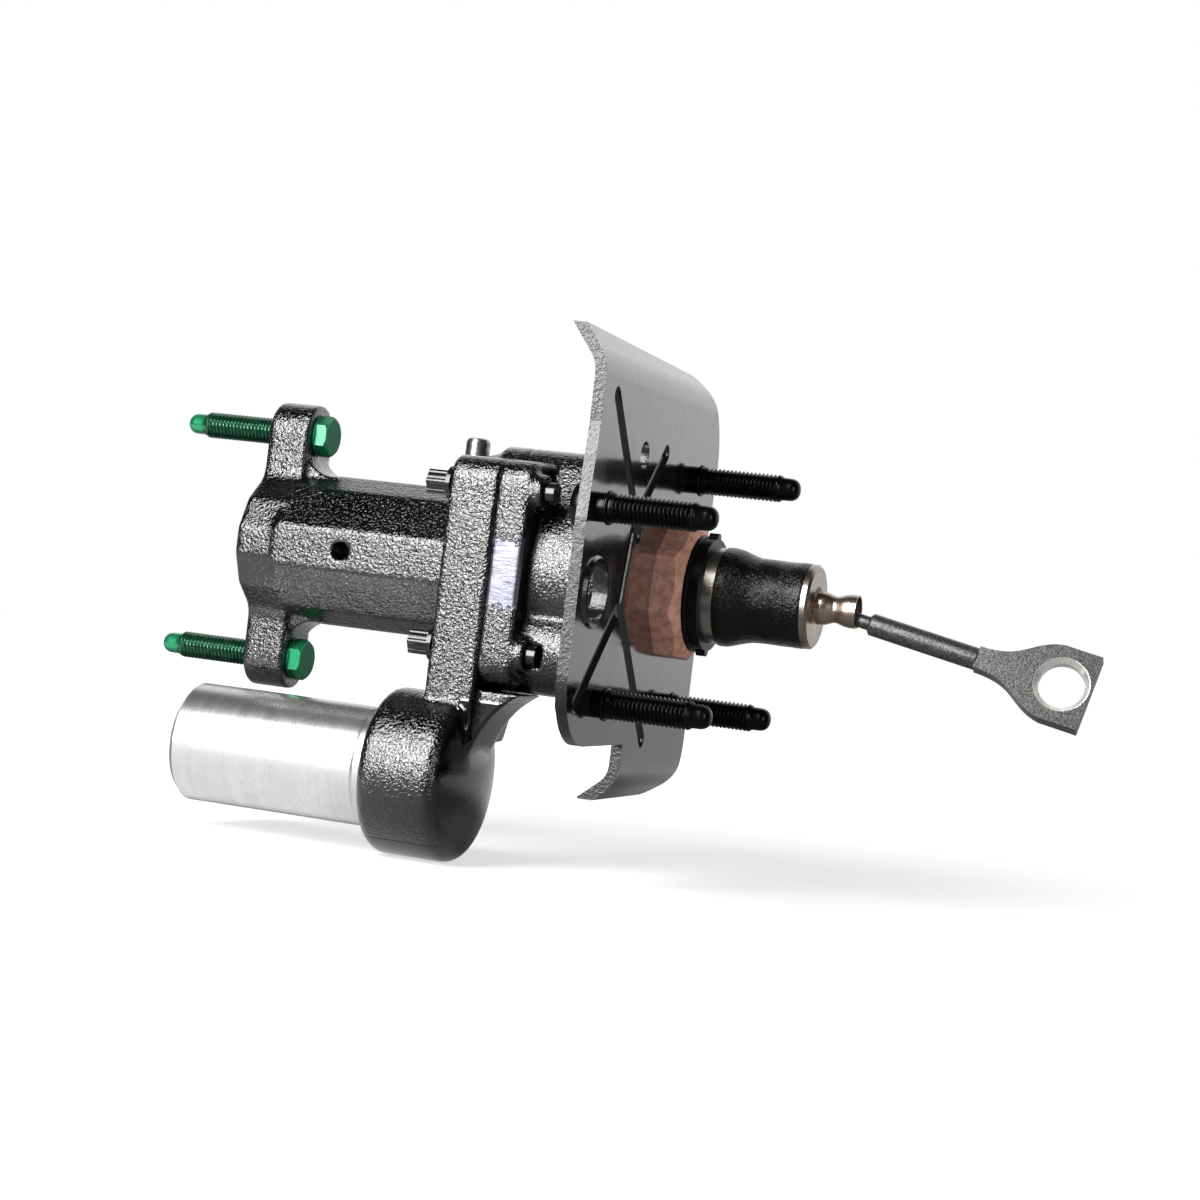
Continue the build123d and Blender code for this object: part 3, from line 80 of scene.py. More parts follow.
MM = 0.001
CAD_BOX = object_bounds()
JOINTS = {joint["name"]: joint for joint in frame["joints"]}
MOUNTS = {mount["name"]: mount for mount in frame["record"]["mounts"]}

# Places and lengths are in millimetres of the row frame; a name that ends in _M is in metres
STROKE = 1000 * JOINTS["piston_slide"]["range_m"][1]
SPOOL_STROKE = 1000 * JOINTS["spool_slide"]["range_m"][1]
EYE_CENTRE = [1000 * c for c in MOUNTS["pedal_eye"]["pos_m"]]
EYE_AXIS = MOUNTS["pedal_eye"]["axis"]
EYE_BRIGHT_R = 9.75  # the bright chamfer of the eye ends here

# Axes along X, each as (y, z)
MAIN_AXIS = (0.0, 0.0)
LOBE_AXIS = (-27.7, -77.0)
SPOOL_AXIS = (-6.0, 33.0)
STUDS_AT = ((-92.9, 24.2), (8.4, 41.3), (-72.7, -41.1), (4.7, -42.6))
BOLTS_AT = ((0.0, 42.85), (0.0, -42.85))

# The mould's parting line: smooth below this height, and behind this place under the lobe's top
PARTING_Z = -100.8
PARTING_X = -61.2
PARTING_TOP_Z = -48.0
PARTING_SOFT = 0.6
# The bare end of the housing's neck, and the ground place on its flange
NECK_BARE_X = -4.2
NECK_BARE_R = 20.5
PATCH_Y = -40.4
PATCH_Z = (-12.5, 10.0)

# Threaded pieces
THREAD_R = 5.0
TIP_R = 0.01  # a profile ends here instead of on its axis
STUD_THREAD_X = 5.8
STUD_POINT_L = 7.6
STUD_NOSE_L = 3.4
BOLT_NOSE_L = 3.7
BOLT_THREAD_L = 9.0
BOLT_THREAD_END_X = -162.0
BOLT_HEAD_T = 5.6
BOLT_HEAD_R = 7.85
BOLT_HEAD_FLATS = 6.8
COATING_TIP_X = (-196.0, -193.5)  # the coating is thick before this stretch
COATING_HEAD_X = (-148.0, -147.0)  # and covers the head behind this one
QUARTER_TURN = np.linspace(0, pi / 2, 9)

# Meshes
ROUND_FACETS = 96
WIRE_FACETS = 12
COIL_STEPS = 36
WELD_M = 1e-6

# Stage
FLOOR_HALF_M = 1.6
FLOOR_GAP_M = 0.0005


def spot(name):
    """A node's box as two arrays in millimetres."""
    low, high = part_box(name)
    return np.array(low) / MM, np.array(high) / MM


# Helpers for shapes


def grid_mesh(name, points, wrap_u=True, cap_start=False, cap_end=False):
    """Mesh of a surface given as an array of rings: points[ring, around, xyz] in millimetres.

    Neighbouring rings are joined by quads; a cap closes an end ring with a fan about its middle."""
    rings, around = points.shape[:2]
    verts = points.reshape(-1, 3) * MM
    ring_ids = np.arange(rings - 1)[:, None] * around
    steps = around if wrap_u else around - 1
    here = np.arange(steps)[None, :]
    after = (here + 1) % around
    quads = np.stack(
        [ring_ids + here, ring_ids + after, ring_ids + around + after, ring_ids + around + here], axis=-1
    ).reshape(-1, 4)
    faces = quads.tolist()
    for wanted, ring_no in ((cap_start, 0), (cap_end, rings - 1)):
        if not wanted:
            continue
        middle = verts[ring_no * around:(ring_no + 1) * around].mean(0)
        verts = np.vstack([verts, middle])
        centre = len(verts) - 1
        loop = ring_no * around + np.arange(around)
        turned = np.roll(loop, -1)
        rim = [turned, loop] if ring_no == 0 else [loop, turned]
        faces += np.stack([np.full(around, centre), *rim], axis=-1).tolist()
    mesh = bpy.data.meshes.new(name)
    mesh.from_pydata(verts.tolist(), [], faces)
    mesh.update()
    return mesh


def add_piece(name, mesh, body, material, smooth_deg):
    """Puts a mesh into the scene as a piece that rides on a body, with its outward normals worked out.

    Edges sharper than smooth_deg stay sharp; None smooths them all."""
    work = bmesh.new()
    work.from_mesh(mesh)
    bmesh.ops.remove_doubles(work, verts=work.verts, dist=WELD_M)
    bmesh.ops.recalc_face_normals(work, faces=work.faces)
    work.to_mesh(mesh)
    work.free()
    mesh.shade_smooth()
    if smooth_deg is not None:
        mesh.set_sharp_from_angle(angle=radians(smooth_deg))
    piece = bpy.data.objects.new(name, mesh)
    bpy.context.scene.collection.objects.link(piece)
    mesh.materials.append(material)
    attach(piece, body)
    return piece


def join_meshes(name, meshes):
    """One mesh with the faces of all the given ones."""
    work = bmesh.new()
    for mesh in meshes:
        work.from_mesh(mesh)
    joined = bpy.data.meshes.new(name)
    work.to_mesh(joined)
    work.free()
    return joined


def turned_surface(profile, around, centre=(0.0, 0.0), radius_of=None):
    """Rings about an axis along X: each profile row is (x, radius).

    radius_of(x, angle, r) may change the radius."""
    angle = np.linspace(0, 2 * pi, around, endpoint=False)
    x = np.asarray(profile, float)[:, 0][:, None]
    r = np.asarray(profile, float)[:, 1][:, None] + 0 * angle[None, :]
    if radius_of is not None:
        r = radius_of(x + 0 * angle[None, :], angle[None, :] + 0 * x, r)
    return np.stack([
        x + 0 * angle[None, :],
        centre[0] + r * np.cos(angle)[None, :],
        centre[1] + r * np.sin(angle)[None, :],
    ], axis=-1)


def dense_profile(corners, step):
    """Points along a polyline of (x, radius) corners, spaced by at most step, as one array."""
    corners = np.asarray(corners, float)
    length = np.concatenate([[0], np.cumsum(np.hypot(*np.diff(corners, axis=0).T))])
    count = max(int(length[-1] / step), 2)
    along = np.unique(np.concatenate([np.linspace(0, length[-1], count), length]))
    return np.stack([np.interp(along, length, column) for column in corners.T], axis=-1)


def thread_cut(start, end, pitch, depth):
    """Radius change for a right-hand screw thread: a rounded triangle wave that fades at both ends."""
    def shaped(x, angle, r):
        phase = (x / pitch - angle / (2 * pi)) % 1.0
        wave = np.clip(1.35 * (1 - np.abs(2 * phase - 1)) - 0.1, 0, 1)
        fade = np.clip((x - start) / pitch, 0, 1) * np.clip((end - x) / pitch, 0, 1)
        return r - depth * wave * fade
    return shaped


# Helpers for finishes


def linear(code):
    """Linear colour, with an alpha of 1, of an sRGB hex code."""
    parts = [int(code[i:i + 2], 16) / 255 for i in (0, 2, 4)]
    return tuple(c / 12.92 if c <= 0.04045 else ((c + 0.055) / 1.055) ** 2.4 for c in parts) + (1.0,)


def add_node(tree, kind, inputs=None, **settings):
    """Adds a node: settings are its properties, and inputs its sockets.

    Each input is a value or another node's output."""
    made = tree.nodes.new(kind)
    for name, value in settings.items():
        setattr(made, name, value)
    for name, value in (inputs or {}).items():
        if isinstance(value, bpy.types.NodeSocket):
            tree.links.new(value, made.inputs[name])
        else:
            made.inputs[name].default_value = value
    return made


def new_material(name):
    """An empty node material, with its tree, its Principled shader and object coordinates in millimetres."""
    material = bpy.data.materials.new(name)
    material.use_nodes = True
    tree = material.node_tree
    tree.nodes.clear()
    shader = add_node(tree, "ShaderNodeBsdfPrincipled")
    add_node(tree, "ShaderNodeOutputMaterial", {"Surface": shader.outputs[0]})
    coords = add_node(tree, "ShaderNodeTexCoord")
    scaled = add_node(tree, "ShaderNodeVectorMath", {0: coords.outputs["Object"], "Scale": 1 / MM},
                      operation="SCALE")
    return material, tree, shader, scaled.outputs["Vector"]


def grain(tree, where, size_mm, detail=2.0, rough=0.5, warp=0.0):
    """Noise whose grains are about size_mm across."""
    return add_node(tree, "ShaderNodeTexNoise", {
        "Vector": where, "Scale": 1.0 / size_mm, "Detail": detail, "Roughness": rough, "Distortion": warp,
    }).outputs["Fac"]


def ramp(tree, value, low, high, first, last):
    """Linear step of a value between low and high, from first to last."""
    return add_node(tree, "ShaderNodeMapRange", {
        "Value": value, "From Min": low, "From Max": high, "To Min": first, "To Max": last,
    }).outputs["Result"]


def combine(tree, kind, first, second):
    """Arithmetic on two values."""
    return add_node(tree, "ShaderNodeMath", {0: first, 1: second}, operation=kind).outputs["Value"]


def axes(tree, vector):
    """The X, Y and Z outputs of a vector."""
    return add_node(tree, "ShaderNodeSeparateXYZ", {"Vector": vector}).outputs


def blend(tree, factor, first, second):
    """Mix of two values."""
    return add_node(tree, "ShaderNodeMix", {0: factor, 2: first, 3: second}, data_type="FLOAT").outputs[0]


def vector_math(tree, kind, first, second=(0.0, 0.0, 0.0)):
    """Arithmetic on two vectors, as the node's outputs Vector and Value."""
    return add_node(tree, "ShaderNodeVectorMath", {0: first, 1: second}, operation=kind).outputs


def tint(tree, factor, first, second):
    """Mix of two colours."""
    mixed = add_node(tree, "ShaderNodeMix", data_type="RGBA")
    for name, value in (("Factor", factor), ("A", first), ("B", second)):
        socket = next(s for s in mixed.inputs if s.name == name and (name == "Factor" or s.type == "RGBA"))
        if isinstance(value, bpy.types.NodeSocket):
            tree.links.new(value, socket)
        else:
            socket.default_value = value
    return next(s for s in mixed.outputs if s.type == "RGBA")


def set_bump(tree, shader, height, distance_mm):
    """Bump whose height of 1 stands for distance_mm."""
    bump = add_node(tree, "ShaderNodeBump", {"Height": height, "Distance": distance_mm * MM, "Strength": 1.0})
    tree.links.new(bump.outputs["Normal"], shader.inputs["Normal"])
    return bump.outputs["Normal"]


def link(tree, output, shader, name):
    """Joins an output to a shader's socket."""
    tree.links.new(output, shader.inputs[name])


def set_values(shader, **values):
    """Sets sockets of a shader; an underscore in a name stands for a space."""
    for name, value in values.items():
        shader.inputs[name.replace("_", " ")].default_value = value


def cast_enamel(name, colour, smooth=None, ledge=None):
    """Gloss enamel over a sand casting: the paint follows the grain of the mould, so it breaks up highlights.

    smooth and ledge take the tree and the place and give a value: where smooth is 1 the mould left no grain,
    and a ledge raises the surface where it is 1, as along a parting line."""
    material, tree, shader, where = new_material(name)
    set_values(shader, Base_Color=colour, IOR=1.5, Coat_Weight=1.0, Coat_Roughness=0.03)
    sand = grain(tree, where, 1.1, 2.0, 0.6, 0.3)
    swell = grain(tree, where, 5.0, 1.0, 0.5)
    height = combine(tree, "ADD", ramp(tree, sand, 0.3, 0.7, 0.0, 1.0), combine(tree, "MULTIPLY", swell, 0.7))
    if smooth is not None:
        kept = ramp(tree, smooth(tree, where), 0.0, 1.0, 1.0, 0.12)
        height = combine(tree, "MULTIPLY", height, kept)
    if ledge is not None:
        height = combine(tree, "ADD", height, combine(tree, "MULTIPLY", ledge(tree, where), 2.5))
    normal = set_bump(tree, shader, height, 0.17)
    link(tree, normal, shader, "Coat Normal")
    link(tree, ramp(tree, sand, 0.3, 0.7, 0.16, 0.08), shader, "Roughness")
    return material, tree, shader, where


def between(tree, value, low, high, soft):
    """1 where a value lies between low and high, falling to 0 over a width of soft on each side."""
    return combine(tree, "MULTIPLY", ramp(tree, value, low - soft, low, 0.0, 1.0),
                   ramp(tree, value, high, high + soft, 1.0, 0.0))


def axis_radius(tree, where, centre):
    """Distance of a point from an axis along X through (y, z), and the point's three places."""
    at = axes(tree, where)
    squares = []
    for name, middle in zip("YZ", centre):
        off = combine(tree, "ABSOLUTE", combine(tree, "SUBTRACT", at[name], middle), 0.0)
        squares.append(combine(tree, "POWER", off, 2.0))
    return combine(tree, "SQRT", combine(tree, "ADD", *squares), 0.0), at


def plain_metal(name, code, roughness, grain_mm=2.0, spread=0.12, metallic=1.0, bump_mm=0.01):
    """Machined or plated metal: a little uneven in tone and gloss, from handling and plating."""
    material, tree, shader, where = new_material(name)
    set_values(shader, Metallic=metallic)
    patch = grain(tree, where, grain_mm, 3.0, 0.6)
    colour = linear(code)
    darker = tuple(c * (1 - 2 * spread) for c in colour[:3]) + (1.0,)
    link(tree, tint(tree, ramp(tree, patch, 0.35, 0.65, 0.0, 1.0), darker, colour), shader, "Base Color")
    link(tree, ramp(tree, patch, 0.3, 0.7, roughness * 1.25, roughness * 0.8), shader, "Roughness")
    set_bump(tree, shader, grain(tree, where, grain_mm / 3, 2.0), bump_mm)
    return material, tree, shader, where


def turned_metal(name, code, roughness, centre, groove_mm=0.5, depth_mm=0.006, metallic=1.0):
    """Metal turned on a lathe: fine rings about the axis, which streak the highlight along it."""
    material, tree, shader, where = new_material(name)
    set_values(shader, Metallic=metallic)
    radius, at = axis_radius(tree, where, centre)
    along = add_node(tree, "ShaderNodeCombineXYZ", {"X": at["X"], "Y": radius, "Z": 0.0}).outputs[0]
    rings = grain(tree, along, groove_mm, 3.0, 0.7)
    broad = grain(tree, along, groove_mm * 16, 1.0, 0.5)
    smear = grain(tree, where, 9.0, 3.0, 0.6, 1.0)
    colour = linear(code)
    darker = tuple(c * 0.78 for c in colour[:3]) + (1.0,)
    slow = combine(tree, "ADD", combine(tree, "MULTIPLY", broad, 0.3), combine(tree, "MULTIPLY", smear, 0.3))
    mixed = combine(tree, "ADD", combine(tree, "MULTIPLY", rings, 0.5), slow)
    link(tree, tint(tree, ramp(tree, mixed, 0.4, 0.7, 0.0, 1.0), darker, colour), shader, "Base Color")
    link(tree, ramp(tree, mixed, 0.35, 0.75, roughness * 1.3, roughness * 0.8), shader, "Roughness")
    set_bump(tree, shader, rings, depth_mm)
    return material, tree, shader, where


# Sizes and colours that a user may change


class BoosterSizes(bpy.types.PropertyGroup):
    """Sizes of the dressed pieces."""

    thread_pitch: FloatProperty(
        name="Thread pitch", description="Pitch of the screw threads, in millimetres", default=1.5, min=0.5)
    thread_depth: FloatProperty(
        name="Thread depth", description="Depth of the screw threads, in millimetres", default=0.8, min=0.1)
    skin_voxel: FloatProperty(
        name="Casting detail", description="Grid that softens the castings' edges, in millimetres",
        default=0.9, min=0.5)
    skin_smooth: IntProperty(
        name="Casting softness", description="Rounds of smoothing on the castings", default=6, min=0)
    stud_around: IntProperty(
        name="Thread facets", description="Facets around a screw thread", default=48, min=16)


class BoosterColours(bpy.types.PropertyGroup):
    """Colours of the finishes."""

    enamel: FloatVectorProperty(
        name="Enamel", description="Paint on the castings", subtype="COLOR", size=4, min=0, max=1,
        default=linear("060607"))
    coating: FloatVectorProperty(
        name="Bracket coating", description="Coating on the bracket", subtype="COLOR", size=4, min=0, max=1,
        default=linear("17181a"))
    green: FloatVectorProperty(
        name="Green coating", description="Coating on the master-cylinder bolts", subtype="COLOR", size=4,
        min=0, max=1, default=linear("1f7a55"))
    copper: FloatVectorProperty(
        name="Copper plating", description="Plating of the nut", subtype="COLOR", size=4, min=0, max=1,
        default=linear("f0bba5"))


class BOOSTER_OT_castings(bpy.types.Operator):
    """Cover and housing with the soft edges of sand castings"""

    bl_idname = "booster.castings"
    bl_label = "Castings"

    def execute(self, context):
        sizes = context.scene.booster_sizes
        colours = context.scene.booster_colours
        enamel, *_ = cast_enamel("Enamel on sand-cast iron", tuple(colours.enamel), self.behind_parting,
                                 self.behind_parting)
        self.cast_skin("cover_skin", "cover_casting", enamel, sizes)
        painted, tree, shader, where = cast_enamel("Enamel on cast iron, machined at neck and side",
                                                   tuple(colours.enamel), self.machined)
        neck, patch = self.bare_neck(tree, where), self.ground_patch(tree, where)
        # the grinder's strokes run along X
        at = axes(tree, where)
        strokes = add_node(tree, "ShaderNodeCombineXYZ", {
            "X": combine(tree, "MULTIPLY", at["X"], 0.06), "Y": 0.0, "Z": at["Z"]}).outputs[0]
        lines = grain(tree, strokes, 0.5, 3.0, 0.7)
        ground = tint(tree, ramp(tree, lines, 0.35, 0.65, 0.0, 1.0), linear("484851"), linear("7c7c88"))
        first = tint(tree, neck, tuple(colours.enamel), linear("b9b1a7"))
        link(tree, tint(tree, patch, first, ground), shader, "Base Color")
        bare = combine(tree, "MAXIMUM", neck, patch)
        link(tree, bare, shader, "Metallic")
        link(tree, ramp(tree, bare, 0.0, 1.0, 0.19, 0.3), shader, "Roughness")
        link(tree, ramp(tree, bare, 0.0, 1.0, 1.0, 0.0), shader, "Coat Weight")
        self.cast_skin("housing_skin", "housing_casting", painted, sizes)
        return {"FINISHED"}

    def behind_parting(self, tree, where):
        """Smooth half of the mould: the lobe's underside and its rounded rear, beyond the parting line."""
        at = axes(tree, where)
        below = ramp(tree, at["Z"], PARTING_Z, PARTING_Z + PARTING_SOFT, 1.0, 0.0)
        behind = combine(tree, "MULTIPLY", ramp(tree, at["X"], PARTING_X, PARTING_X + PARTING_SOFT, 0.0, 1.0),
                         ramp(tree, at["Z"], PARTING_TOP_Z, PARTING_TOP_Z + 1, 1.0, 0.0))
        return combine(tree, "MAXIMUM", below, behind)

    def bare_neck(self, tree, where):
        """Turned steel from the nut backwards, inside the neck's radius."""
        radius, at = axis_radius(tree, where, MAIN_AXIS)
        return combine(tree, "MULTIPLY", ramp(tree, at["X"], NECK_BARE_X, NECK_BARE_X + 0.2, 0.0, 1.0),
                       ramp(tree, radius, NECK_BARE_R, NECK_BARE_R + 0.2, 1.0, 0.0))

    def ground_patch(self, tree, where):
        """Ground place on the near side of the joint flange, with a ragged edge."""
        at = axes(tree, where)
        ragged = combine(tree, "ADD", at["Z"], ramp(tree, grain(tree, where, 1.6), 0.3, 0.7, -2.0, 2.0))
        return combine(tree, "MULTIPLY", ramp(tree, at["Y"], PATCH_Y, PATCH_Y + 0.3, 1.0, 0.0),
                       between(tree, ragged, *PATCH_Z, 1.5))

    def machined(self, tree, where):
        """The neck and the ground place together."""
        return combine(tree, "MAXIMUM", self.bare_neck(tree, where), self.ground_patch(tree, where))

    def cast_skin(self, name, node, material, sizes):
        """A copy of a casting, remeshed on an even grid and smoothed, so that its edges are rounded."""
        mesh = frame["nodes"][node].data.copy()
        mesh.name = name
        work = bmesh.new()
        work.from_mesh(mesh)
        bmesh.ops.remove_doubles(work, verts=work.verts, dist=WELD_M)
        work.to_mesh(mesh)
        work.free()
        mesh.materials.clear()
        mesh.materials.append(material)
        skin = bpy.data.objects.new(name, mesh)
        context = bpy.context
        context.scene.collection.objects.link(skin)
        remesh = skin.modifiers.new("even grid", "REMESH")
        remesh.mode = "VOXEL"
        remesh.voxel_size = sizes.skin_voxel * MM
        soften = skin.modifiers.new("soft edges", "SMOOTH")
        soften.factor = 0.5
        soften.iterations = sizes.skin_smooth
        evaluated = skin.evaluated_get(context.evaluated_depsgraph_get())
        final = bpy.data.meshes.new_from_object(evaluated)
        skin.modifiers.clear()
        skin.data = final
        final.materials.clear()
        final.materials.append(material)
        final.shade_smooth()
        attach(skin, "booster")
        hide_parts(node)


class BOOSTER_OT_threads(bpy.types.Operator):
    """Firewall studs and master-cylinder bolts with their screw threads"""

    bl_idname = "booster.threads"
    bl_label = "Threaded Pieces"

    def execute(self, context):
        sizes = context.scene.booster_sizes
        colours = context.scene.booster_colours
        black, *_ = plain_metal("Black oxide on steel", "1a1a1b", 0.22, 3.0, 0.2, 0.85, 0.01)
        green, tree, shader, where = new_material("Green thread-locking coating on zinc-plated steel")
        # the coating is thick and clear at the tip, and thin over the threads, where the steel greys it
        along = axes(tree, where)["X"]
        tip = ramp(tree, along, *COATING_TIP_X, 1.0, 0.0)
        patch = grain(tree, where, 2.2, 3.0, 0.6)
        thin = tint(tree, ramp(tree, patch, 0.35, 0.7, 0.0, 1.0), linear("173f31"), linear("2c6b50"))
        head = ramp(tree, along, *COATING_HEAD_X, 0.0, 1.0)
        body = tint(tree, head, thin, tuple(colours.green))
        link(tree, tint(tree, tip, body, linear("2f9a6c")), shader, "Base Color")
        head_end = spot("flange_bolts")[1][0]
        end = ramp(tree, along, head_end - 0.5, head_end - 0.3, 1.0, 0.0)
        link(tree, ramp(tree, head, 0.0, 1.0, 0.28, 0.5), shader, "Roughness")
        link(tree, ramp(tree, end, 0.0, 1.0, 0.0, 0.75), shader, "Metallic")
        link(tree, combine(tree, "MULTIPLY", end, 0.6), shader, "Coat Weight")
        set_values(shader, Coat_Roughness=0.15, IOR=1.3)
        set_bump(tree, shader, patch, 0.03)
        self.studs(sizes, black)
        self.bolts(sizes, green)
        return {"FINISHED"}

    def studs(self, sizes, material):
        """Each stud is a turned profile along X: head, shank, collar, thread and a rounded point."""
        low, high = spot("bracket_studs")
        head_x, tip_x = low[0], high[0]
        thread_end = tip_x - STUD_POINT_L
        profile = [(head_x, TIP_R), (head_x, 7.0), (head_x + 1, 8.0), (-4.0, 8.0), (-4.0, THREAD_R),
                   (3.6, THREAD_R), (3.6, 5.6), (3.8, 5.8), (4.6, 5.8), (4.8, 5.6), (4.8, 4.95), (5.6, 4.95)]
        profile += [(x, THREAD_R) for x in np.arange(STUD_THREAD_X, thread_end, sizes.thread_pitch / 8)]
        profile += [(tip_x - 7.2, 4.7), (tip_x - 6.4, 4.15), (tip_x - 3.6, 4.1)]
        profile += [(tip_x - STUD_NOSE_L + STUD_NOSE_L * sin(a), max(4.05 * cos(a) ** 0.8, TIP_R))
                    for a in QUARTER_TURN[1:]]
        thread = thread_cut(STUD_THREAD_X, thread_end, sizes.thread_pitch, sizes.thread_depth)
        meshes = [grid_mesh("stud", turned_surface(profile, sizes.stud_around, centre, thread))
                  for centre in STUDS_AT]
        piece = add_piece("studs_threaded", join_meshes("studs_threaded", meshes), "booster", material, 50)
        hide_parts("bracket_studs")

    def bolts(self, sizes, material):
        """Each bolt is a turned profile of point, thread and shank, with a head that follows a hexagon."""
        low, high = spot("flange_bolts")
        tip_x, seat_x = low[0], high[0] - BOLT_HEAD_T
        profile = [(tip_x + BOLT_NOSE_L - BOLT_NOSE_L * sin(a), max(3.9 * cos(a), TIP_R))
                   for a in QUARTER_TURN[::-1]]
        profile += [(tip_x + 6.6, 3.95), (tip_x + 7.6, 4.1), (tip_x + BOLT_THREAD_L, 4.9)]
        profile += [(x, THREAD_R) for x in np.arange(
            tip_x + BOLT_THREAD_L + 0.2, BOLT_THREAD_END_X, sizes.thread_pitch / 8)]
        profile += [(BOLT_THREAD_END_X + 0.5, THREAD_R), (seat_x, THREAD_R)]
        thread = thread_cut(
            tip_x + BOLT_THREAD_L, BOLT_THREAD_END_X + 0.2, sizes.thread_pitch, sizes.thread_depth)
        hexagon = dense_profile([
            (seat_x, THREAD_R), (seat_x, 7.6), (seat_x + 0.4, 7.8), (seat_x + 0.8, 7.8),
            (seat_x + 0.9, BOLT_HEAD_R), (seat_x + 3.4, BOLT_HEAD_R), (seat_x + 4.6, BOLT_HEAD_R),
            (seat_x + 5.2, 7.2), (seat_x + BOLT_HEAD_T, 6.5), (seat_x + BOLT_HEAD_T, TIP_R)], 0.4)

        def six_sided(x, angle, r):
            """Flats above the round washer face."""
            turn = (angle + pi / 6) % (pi / 3) - pi / 6
            return np.where(x > seat_x + 0.85, np.minimum(r, BOLT_HEAD_FLATS / np.cos(turn)), r)

        meshes = []
        for centre in BOLTS_AT:
            meshes.append(grid_mesh("bolt", turned_surface(profile, sizes.stud_around, centre, thread)))
            meshes.append(grid_mesh("head", turned_surface(hexagon, ROUND_FACETS, centre, six_sided)))
        piece = add_piece(
            "flange_bolts_threaded", join_meshes("flange_bolts_threaded", meshes), "booster", material, 32)
        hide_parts("flange_bolts")


class BOOSTER_OT_boot(bpy.types.Operator):
    """Rubber boot and the coil springs"""

    bl_idname = "booster.boot"
    bl_label = "Boot and Springs"

    def execute(self, context):
        rubber, tree, shader, where = new_material("Moulded rubber")
        set_values(shader, Base_Color=linear("070707"), IOR=1.25, Coat_Weight=0.4, Coat_Roughness=0.06)
        crease = grain(tree, where, 0.9, 2.0, 0.6, 0.4)
        rub = grain(tree, where, 7.0, 2.0, 0.5)
        height = combine(tree, "MULTIPLY", crease, ramp(tree, rub, 0.4, 0.6, 0.5, 1.0))
        link(tree, set_bump(tree, shader, height, 0.5), shader, "Coat Normal")
        link(tree, ramp(tree, rub, 0.35, 0.7, 0.36, 0.2), shader, "Roughness")
        low, high = spot("boot")
        mouth, end = low[0], high[0]
        outside = [(mouth, 17.6), (mouth + 0.1, 17.85), (mouth + 0.5, 17.95), (mouth + 2.2, 17.95),
                   (mouth + 3.6, 17.8), (mouth + 5.4, 17.4), (mouth + 7.8, 16.6), (mouth + 10.2, 15.85),
                   (mouth + 12.5, 15.35), (mouth + 16, 15.25), (end - 5, 15.25), (end - 3, 15.4),
                   (end - 1, 15.35), (end - 0.2, 15.2), (end - 0.05, 14.9), (end - 0.05, 13.6)]
        inside = [(end - 4, 13.6), (end - 4, 14.35), (mouth + 12.5, 14.4), (mouth + 7.6, 15.3),
                  (mouth + 2.4, 17.6), (mouth, 17.6)]

        def folds(x, angle, r):
            """Shallow long waves, where the rubber isn't quite round."""
            wave = 0.10 * np.sin(3 * angle + 0.35 * x) * np.sin(0.22 * (x - mouth))
            return r + np.where(x > mouth + 4, wave, 0.0)

        outer = turned_surface(dense_profile(outside, 0.5), ROUND_FACETS, radius_of=folds)
        inner = turned_surface(dense_profile(inside, 1.0), ROUND_FACETS)
        mesh = grid_mesh("boot_skin", np.concatenate([outer, inner]))
        piece = add_piece("boot_skin", mesh, "booster", rubber, 45)
        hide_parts("boot")
        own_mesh(piece)
        steel, *_ = plain_metal("Spring wire, oiled", "8c8c8a", 0.3)
        for name, joint, turns, wire, centre, travel in (
            ("return_spring", "piston_slide", 7, 1.3, MAIN_AXIS, STROKE),
            ("spool_spring", "spool_slide", 4, 0.5, SPOOL_AXIS, SPOOL_STROKE),
        ):
            low, high = spot(name)
            mean_r = (high[1] - low[1]) / 2 - wire
            rings = self.coil(low[0] + wire, high[0] - wire, mean_r, wire, turns, centre)
            mesh = grid_mesh(name + "_coil", rings, cap_start=True, cap_end=True)
            piece = add_piece(name + "_coil", mesh, "booster", steel, None)
            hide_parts(name)
            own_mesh(piece)
        return {"FINISHED"}

    def coil(self, start, end, mean_r, wire, turns, centre):
        """A round wire carried along a helix about X."""
        t = np.linspace(0, 1, turns * COIL_STEPS + 1)[:, None]
        around = np.linspace(0, 2 * pi, WIRE_FACETS, endpoint=False)[None, :]
        turn = 2 * pi * turns * t
        r = mean_r + wire * np.cos(around)
        x = start + (end - start) * t + wire * np.sin(around)
        return np.stack([x, centre[0] + r * np.cos(turn), centre[1] + r * np.sin(turn)], axis=-1)


